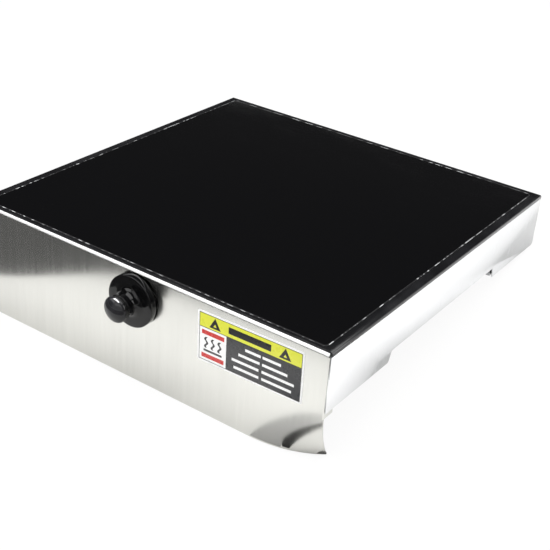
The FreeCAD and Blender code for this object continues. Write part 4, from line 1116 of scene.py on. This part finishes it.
@dataclass
class ControlKnob:
    """Skirted knob with grip rings and a separate domed cap."""

    finishes: Palette
    skirt: float = 24.7 * MM
    skirt_back: float = 1.7 * MM
    skirt_front: float = 8.0 * MM
    skirt_wall: float = 2.3 * MM
    flare: float = 7.5 * MM
    waist: float = 9.6 * MM
    waist_start: float = 8.7 * MM
    waist_end: float = 20.2 * MM
    ring: float = 11.7 * MM
    ring_depth: float = 1.8 * MM
    groove: float = 0.7 * MM
    cap: float = 12.3 * MM
    cap_start: float = 25.2 * MM
    cap_side: float = 27.4 * MM
    cap_end: float = 31.6 * MM
    cap_round: float = 2.1 * MM
    hub: float = 7.4 * MM
    hub_back: float = 3.1 * MM
    insert: float = 4.65 * MM
    spigot: float = 5.9 * MM
    spigot_end: float = 27.9 * MM
    play: float = 0.1 * MM
    shoulder_out: float = 2.0 * MM
    shoulder_rise: float = 0.35 * MM
    flare_round: float = 6.5 * MM
    root_round: float = 0.8 * MM
    lip_round: float = 0.4 * MM
    rim_round: float = 0.5 * MM
    ring_round: float = 0.45 * MM
    break_round: float = 0.3 * MM
    groove_round: float = 0.1 * MM

    def build(self) -> None:
        """Turn the body and the cap, and dress the metal parts."""
        place = facing(Vector((0.0, -1.0, 0.0)), knob_axis())
        body = turned(self.body_profile(), place)
        finished(body, "knob_grip", self.finishes.knob, Body.KNOB, ["knob_body"])
        cap = turned(self.cap_profile(), place)
        finished(cap, "knob_dome", self.finishes.knob, Body.KNOB, ["knob_cap"])
        self.finishes.brass.dress(frame["nodes"]["knob_insert"])
        self.finishes.zinc.dress(frame["nodes"]["control_shaft"])
        self.finishes.moulding.dress(frame["nodes"]["shaft_cam"])

    def body_profile(self) -> list[Corner]:
        """Give the body's profile, from the insert's bore round the skirt to the spigot."""
        bore_end = knob_axis().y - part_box("knob_insert")[0].y
        ceiling = self.skirt_front - self.skirt_wall
        shoulder = self.waist + self.flare + self.shoulder_out
        corners = [
            Corner(0.0, bore_end),
            Corner(self.insert, bore_end),
            Corner(self.insert, self.hub_back),
            Corner(self.hub, self.hub_back, self.break_round, 2),
            Corner(self.hub, ceiling, self.root_round, 3),
            Corner(self.skirt - self.skirt_wall, ceiling, self.root_round, 3),
            Corner(self.skirt - self.skirt_wall, self.skirt_back, self.lip_round / 2, 2),
            Corner(self.skirt, self.skirt_back, self.lip_round, 3),
            Corner(self.skirt, self.skirt_front, self.rim_round, 4),
            Corner(shoulder, self.skirt_front + self.shoulder_rise, self.root_round, 3),
            Corner(self.waist, self.waist_start, self.flare_round, 12),
            Corner(self.waist, self.waist_end, self.break_round, 2),
        ]
        start = self.waist_end
        root = self.ring - self.groove
        for _ in range(2):
            corners.append(Corner(self.ring, start, self.ring_round, 3))
            start += self.ring_depth
            corners.append(Corner(self.ring, start, self.ring_round, 3))
            corners.append(Corner(root, start, self.groove_round, 1))
            start += self.groove
            corners.append(Corner(root, start, self.groove_round, 1))
        corners += [
            Corner(self.spigot, start),
            Corner(self.spigot, self.spigot_end, self.break_round, 2),
            Corner(0.0, self.spigot_end),
        ]
        return corners

    def cap_profile(self) -> list[Corner]:
        """Give the cap's profile, from its socket round its rim to the top of its dome."""
        socket = self.spigot + self.play
        crown = self.cap_end - self.cap_side
        dome = []
        for share in (0.8, 0.6, 0.4, 0.2):
            dome.append(Corner(self.cap * share, self.cap_side + crown * (1 - share * share)))
        return [
            Corner(0.0, self.spigot_end + self.play),
            Corner(socket, self.spigot_end + self.play),
            Corner(socket, self.cap_start),
            Corner(self.cap, self.cap_start, self.rim_round, 3),
            Corner(self.cap, self.cap_side, self.cap_round, 8),
            *dome,
            Corner(0.0, self.cap_end),
        ]


@dataclass
class FrontLabel:
    """Printed film on the apron, slightly askew."""

    finishes: Palette
    width: float = 107.4 * MM
    height: float = 49.2 * MM
    turn: float = -1.1
    corner: float = 2.2 * MM
    arris: float = 0.1 * MM

    def build(self) -> None:
        """Cut the film, round its corners, turn it and print it."""
        low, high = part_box("front_label")
        middle = (low + high) / 2
        half = Vector((self.width / 2, (high.y - low.y) / 2, self.height / 2))
        mesh = bar(-half, half)
        round_edges(mesh, straight_edges(mesh, 1), self.corner, 6)
        front = [edge for edge in mesh.edges if all(abs(spot.co.y + half.y) < CLOSE for spot in edge.verts)]
        round_edges(mesh, front, self.arris, 2)
        angle = math.radians(self.turn)
        mesh.transform(Matrix.Translation(middle) @ Matrix.Rotation(angle, 4, "Y"))
        film = PrintedFilm("printed_film", "label_film", (0.78, 0.8, 0.06), tuple(middle), angle)
        finished(mesh, "label_film", film, Body.HOUSING, ["front_label"])


@dataclass
class Cabinet:
    """Side panels, base, rear panel and what is screwed to them."""

    finishes: Palette
    fold: float = 0.35 * MM
    small: float = 0.2 * MM

    def build(self) -> None:
        """Break the panels' edges and dress them, and dress their screws."""
        softened("left_side_panel", "side_panel_left", self.finishes.side, self.fold)
        softened("right_side_panel", "side_panel_right", self.finishes.side, self.fold)
        softened("rear_panel", "back_panel", self.finishes.side, self.fold)
        softened("base_pan", "floor_pan", self.finishes.base, self.small)
        softened("base_screws", "floor_screws", self.finishes.zinc, self.small)
        softened("rear_screws", "back_screws", self.finishes.zinc, self.small)
        softened("cord_gland", "gland_body", self.finishes.nylon, self.fold)
        softened("gland_cap_nut", "gland_cap", self.finishes.nylon, self.fold)


@dataclass
class InnerWorks:
    """Everything behind the panels, which keeps its CAD shape."""

    finishes: Palette
    zinc: tuple[str, ...] = (
        "lock_washer",
        "panel_nut",
        "regulator_bracket",
        "bracket_screws",
        "element_dish",
        "element_bar_left",
        "element_bar_right",
        "hold_up_springs",
        "element_posts",
        "post_screws",
        "bar_screws",
        "terminal_screws",
        "apron_studs",
        "apron_nuts",
        "earth_stud",
        "earth_nut",
    )
    brass: tuple[str, ...] = (
        "regulator_bush",
        "regulator_terminals",
        "element_terminals",
        "contact_blade",
    )
    sleeves: tuple[str, ...] = (
        "line_lead",
        "neutral_lead",
        "element_lead_left",
        "element_lead_right",
    )

    def build(self) -> None:
        """Dress every inner node."""
        self.dress(self.zinc, self.finishes.zinc)
        self.dress(self.brass, self.finishes.brass)
        self.dress(self.sleeves, self.finishes.sleeve)
        self.dress(("earth_lead",), self.finishes.earth)
        self.dress(("regulator_case", "regulator_cover"), self.finishes.moulding)
        self.dress(("element_insulation",), self.finishes.wool)
        self.dress(("heating_ribbon", "bimetal_blade"), self.finishes.ribbon)
        self.dress(("limiter_rod", "limiter_head", "terminal_block"), self.finishes.steatite)
        self.dress(("heat_shield",), self.finishes.base)
        self.dress(("gland_lock_nut",), self.finishes.nylon)

    def dress(self, names: Iterable[str], finish: Finish) -> None:
        """Put one finish on several nodes."""
        for name in names:
            finish.dress(frame["nodes"][name])


# ---------------------------------------------------------------------------------------------------
# Studio


@dataclass(frozen=True)
class Softbox:
    """A rectangular lamp: its place, what it points at, its width and height, and its power in watts."""

    name: str
    place: Triple
    target: Triple
    size: Span
    power: float

    def hang(self) -> Object:
        """Add the lamp, which the camera doesn't see."""
        data = bpy.data.lights.new(self.name, "AREA")
        data.shape = "RECTANGLE"
        data.size, data.size_y = self.size
        data.energy = self.power
        lamp = bpy.data.objects.new(self.name, data)
        lamp.location = self.place
        lamp.rotation_euler = (Vector(self.target) - Vector(self.place)).to_track_quat("-Z", "Y").to_euler()
        lamp.visible_camera = False
        bpy.context.scene.collection.objects.link(lamp)
        return lamp


@dataclass(frozen=True)
class ShadowPatch:
    """An oval card of painted shadow, seen only in reflections: its middle and half sizes along X and Y,
    its turn, its tone and how deep it lies.
    """

    name: str
    middle: Span
    half: Span
    turn: float
    tone: float
    layer: int


@dataclass
class Studio:
    """Pale floor, soft lamps, cards that only reflections show (three of them painted shadow by the curled
    corner), and the camera.

    The burner rests on the apron's lower edge and its rear feet, so the floor leans in the burner's frame.
    """

    camera_place: Triple = (0.5536, -0.8231, 0.4600)
    camera_turn: Triple = (61.0355, -3.8916, 35.5433)
    lens: float = 72.52
    sensor: float = 36.0
    floor_size: float = 14.0
    floor_sink: float = 0.2 * MM
    floor_color: Triple = (0.86, 0.86, 0.85)
    floor_clean: float = 0.9
    white: float = 1.02
    surround: float = 0.03
    lamps: tuple[Softbox, ...] = (
        Softbox("overhead", (0.1, -0.1, 1.9), (0.1, -0.08, 0.0), (2.8, 2.0), 56.0),
        Softbox("front_fill", (0.1, -1.9, 0.7), (0.0, 0.0, -0.05), (1.6, 1.0), 8.0),
        Softbox("right_fill", (2.0, 0.3, 0.8), (0.0, 0.0, -0.05), (1.2, 1.4), 20.0),
        Softbox("front_wall", (0.0, -3.0, 0.0), (0.0, 0.0, -0.05), (3.2, 1.4), 8.0),
        Softbox("left_fill", (-1.3, -1.6, 1.0), (0.0, -0.1, -0.03), (1.3, 1.3), 15.0),
    )
    glint_lamp: Softbox = Softbox("glint", (-0.13, -0.47, 0.40), (0.0, -0.22, -0.02), (0.46, 0.32), 26.0)
    card_lift: float = 1.5 * MM
    card_left: float = -1.8
    card_right: float = 0.5
    card_front: float = -1.6
    card_edge: float = -0.31
    card_step: float = 0.065
    card_bend: float = -0.203
    card_bend_width: float = 0.036
    card_slope: float = 0.07
    card_spacing: float = 0.01
    card_tone: float = 0.05
    # painted shadow: dark cards on the floor by the curled corner, which the curl's reflection shows as
    # shade
    painted_shadows: tuple[ShadowPatch, ...] = (
        ShadowPatch("painted_shadow_grey", (0.148, -0.230), (0.0205, 0.048), 8.0, 0.42, 1),
        ShadowPatch("painted_shadow_dark", (0.1675, -0.227), (0.0085, 0.035), 7.0, 0.02, 2),
        ShadowPatch("painted_shadow_tip", (0.193, -0.1825), (0.007, 0.0045), 0.0, 0.1, 2),
    )

    def build(self) -> None:
        """Set up the whole studio."""
        self.view()
        self.world()
        self.floor()
        for lamp in self.lamps:
            lamp.hang()
        self.surround_card()
        for patch in self.painted_shadows:
            self.lay_painted_shadow(patch)

    def view(self) -> None:
        """Put the camera in place and keep plain white white."""
        data = bpy.data.cameras.new("camera")
        data.lens = self.lens
        data.sensor_width = self.sensor
        data.clip_end = 60.0
        camera = bpy.data.objects.new("camera", data)
        camera.location = self.camera_place
        camera.rotation_euler = Euler([math.radians(part) for part in self.camera_turn])
        bpy.context.scene.collection.objects.link(camera)
        bpy.context.scene.camera = camera
        bpy.context.scene.view_settings.view_transform = "Standard"

    def lean(self) -> tuple[Vector, Vector]:
        """Give a point on the floor and the floor's upward direction."""
        front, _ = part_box("apron")
        rear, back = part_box("right_side_panel")
        up = Vector((0.0, front.z - rear.z, back.y - front.y)).normalized()
        return Vector((0.0, front.y, front.z)) - up * self.floor_sink, up

    def world(self) -> None:
        """Make a white background that lights the scene only dimly."""
        world = bpy.data.worlds.new("studio")
        world.use_nodes = True
        tree = world.node_tree
        tree.nodes.clear()
        path = tree.nodes.new("ShaderNodeLightPath")
        level = tree.nodes.new("ShaderNodeMix")
        level.inputs[2].default_value = self.surround
        level.inputs[3].default_value = self.white
        sky = tree.nodes.new("ShaderNodeBackground")
        output = tree.nodes.new("ShaderNodeOutputWorld")
        tree.links.new(path.outputs["Is Camera Ray"], level.inputs[0])
        tree.links.new(level.outputs[0], sky.inputs["Strength"])
        tree.links.new(sky.outputs[0], output.inputs[0])
        bpy.context.scene.world = world

    def floor(self) -> None:
        """Make the pale floor, which is seen only from above and mostly as clean white."""
        point, up = self.lean()
        mesh = bmesh.new()
        place = facing(up, point)
        bmesh.ops.create_grid(mesh, x_segments=2, y_segments=2, size=self.floor_size / 2, matrix=place)
        floor = self.staged(mesh, "floor")
        graph = Graph("pale_floor")
        graph.set(Base_Color=opaque(self.floor_color), Roughness=0.9)
        path = graph.node("ShaderNodeLightPath")
        links = {"Color": opaque((1.0, 1.0, 1.0)), "Strength": self.white}
        clean = graph.node("ShaderNodeEmission", links=links)
        share = Signal(graph, path.outputs["Is Camera Ray"]) * self.floor_clean
        links = {0: share, 1: graph.shader.outputs[0], 2: clean.outputs[0]}
        lit = graph.node("ShaderNodeMixShader", links=links)
        under = graph.node("ShaderNodeNewGeometry").outputs["Backfacing"]
        clear = graph.node("ShaderNodeBsdfTransparent")
        links = {0: under, 1: lit.outputs[0], 2: clear.outputs[0]}
        both = graph.node("ShaderNodeMixShader", links=links)
        graph.join(graph.output.inputs["Surface"], both.outputs[0])
        floor.data.materials.append(graph.material)

    def staged(self, mesh: BMesh, name: str) -> Object:
        """Turn a bmesh into an object that isn't part of the burner."""
        data = bpy.data.meshes.new(name)
        mesh.to_mesh(data)
        mesh.free()
        made = bpy.data.objects.new(name, data)
        bpy.context.scene.collection.objects.link(made)
        return made

    def glint(self, pieces: Iterable[Object]) -> None:
        """Hang a small lamp that lights only these glossy pieces."""
        lamp = self.glint_lamp.hang()
        seen = bpy.data.collections.new("glint_pieces")
        for piece in pieces:
            seen.objects.link(piece)
        lamp.light_linking.receiver_collection = seen

    def surround_card(self) -> None:
        """Lay the wide dark card, whose near edge steps back once from left to right."""
        mesh = bmesh.new()
        wide = self.card_right - self.card_left
        middle = Matrix.Translation((self.card_left + wide / 2, 0.0, 0.0))
        place = middle @ Matrix.Diagonal((wide, 1.0, 1.0, 1.0))
        count = round(wide / self.card_spacing)
        bmesh.ops.create_grid(mesh, x_segments=count, y_segments=1, size=0.5, matrix=place)
        for spot in mesh.verts:
            run = spot.co.x - self.card_bend
            step = self.card_step * math.tanh(run / self.card_bend_width)
            near = self.card_edge - step - self.card_slope * run
            spot.co.y = near if spot.co.y > 0.0 else self.card_front
        self.card(mesh, "dark_surround", self.card_tone, 1)

    def lay_painted_shadow(self, patch: ShadowPatch) -> None:
        """Lay an oval card of painted shadow."""
        mesh = bmesh.new()
        turn = Matrix.Rotation(math.radians(patch.turn), 4, "Z")
        place = Matrix.Translation((*patch.middle, 0.0)) @ turn @ Matrix.Diagonal((*patch.half, 1.0, 1.0))
        bmesh.ops.create_circle(mesh, cap_ends=True, segments=48, radius=1.0, matrix=place)
        self.card(mesh, patch.name, patch.tone, patch.layer)

    def card(self, mesh: BMesh, name: str, tone: float, layer: int) -> None:
        """Lay a flat shape a little above the floor, where only the burner's reflections show it.

        Args:
            mesh: The shape, at level 0. It is freed.
            name: The card's name.
            tone: How light it is.
            layer: How many cards deep it lies.
        """
        point, up = self.lean()
        for spot in mesh.verts:
            spot.co.z = point.z - ((spot.co.y - point.y) * up.y) / up.z + self.card_lift * layer
        card = self.staged(mesh, name)
        graph = Graph(name)
        graph.set(Base_Color=opaque((tone, tone, tone)), Roughness=0.8)
        card.data.materials.append(graph.material)
        card.visible_camera = False
        card.visible_diffuse = False
        card.visible_shadow = False


def main() -> None:
    """Build the studio and every sub-assembly."""
    logging.basicConfig(level=logging.INFO, format="%(message)s")
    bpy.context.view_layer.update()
    finishes = Palette()
    studio = Studio()
    parts: list[tuple[str, Callable[[], None]]] = [
        ("studio", studio.build),
        ("cooking top", CookingTop(finishes).build),
        ("front trim", FrontTrim(finishes).build),
        ("hanging apron", HangingApron(finishes).build),
        ("control knob", ControlKnob(finishes).build),
        ("front label", FrontLabel(finishes).build),
        ("cabinet", Cabinet(finishes).build),
        ("inner works", InnerWorks(finishes).build),
    ]
    for name, build in parts:
        build()
        LOG.info("built the %s", name)
    studio.glint([bpy.data.objects["knob_dome"]])


if __name__ == "__main__":
    main()
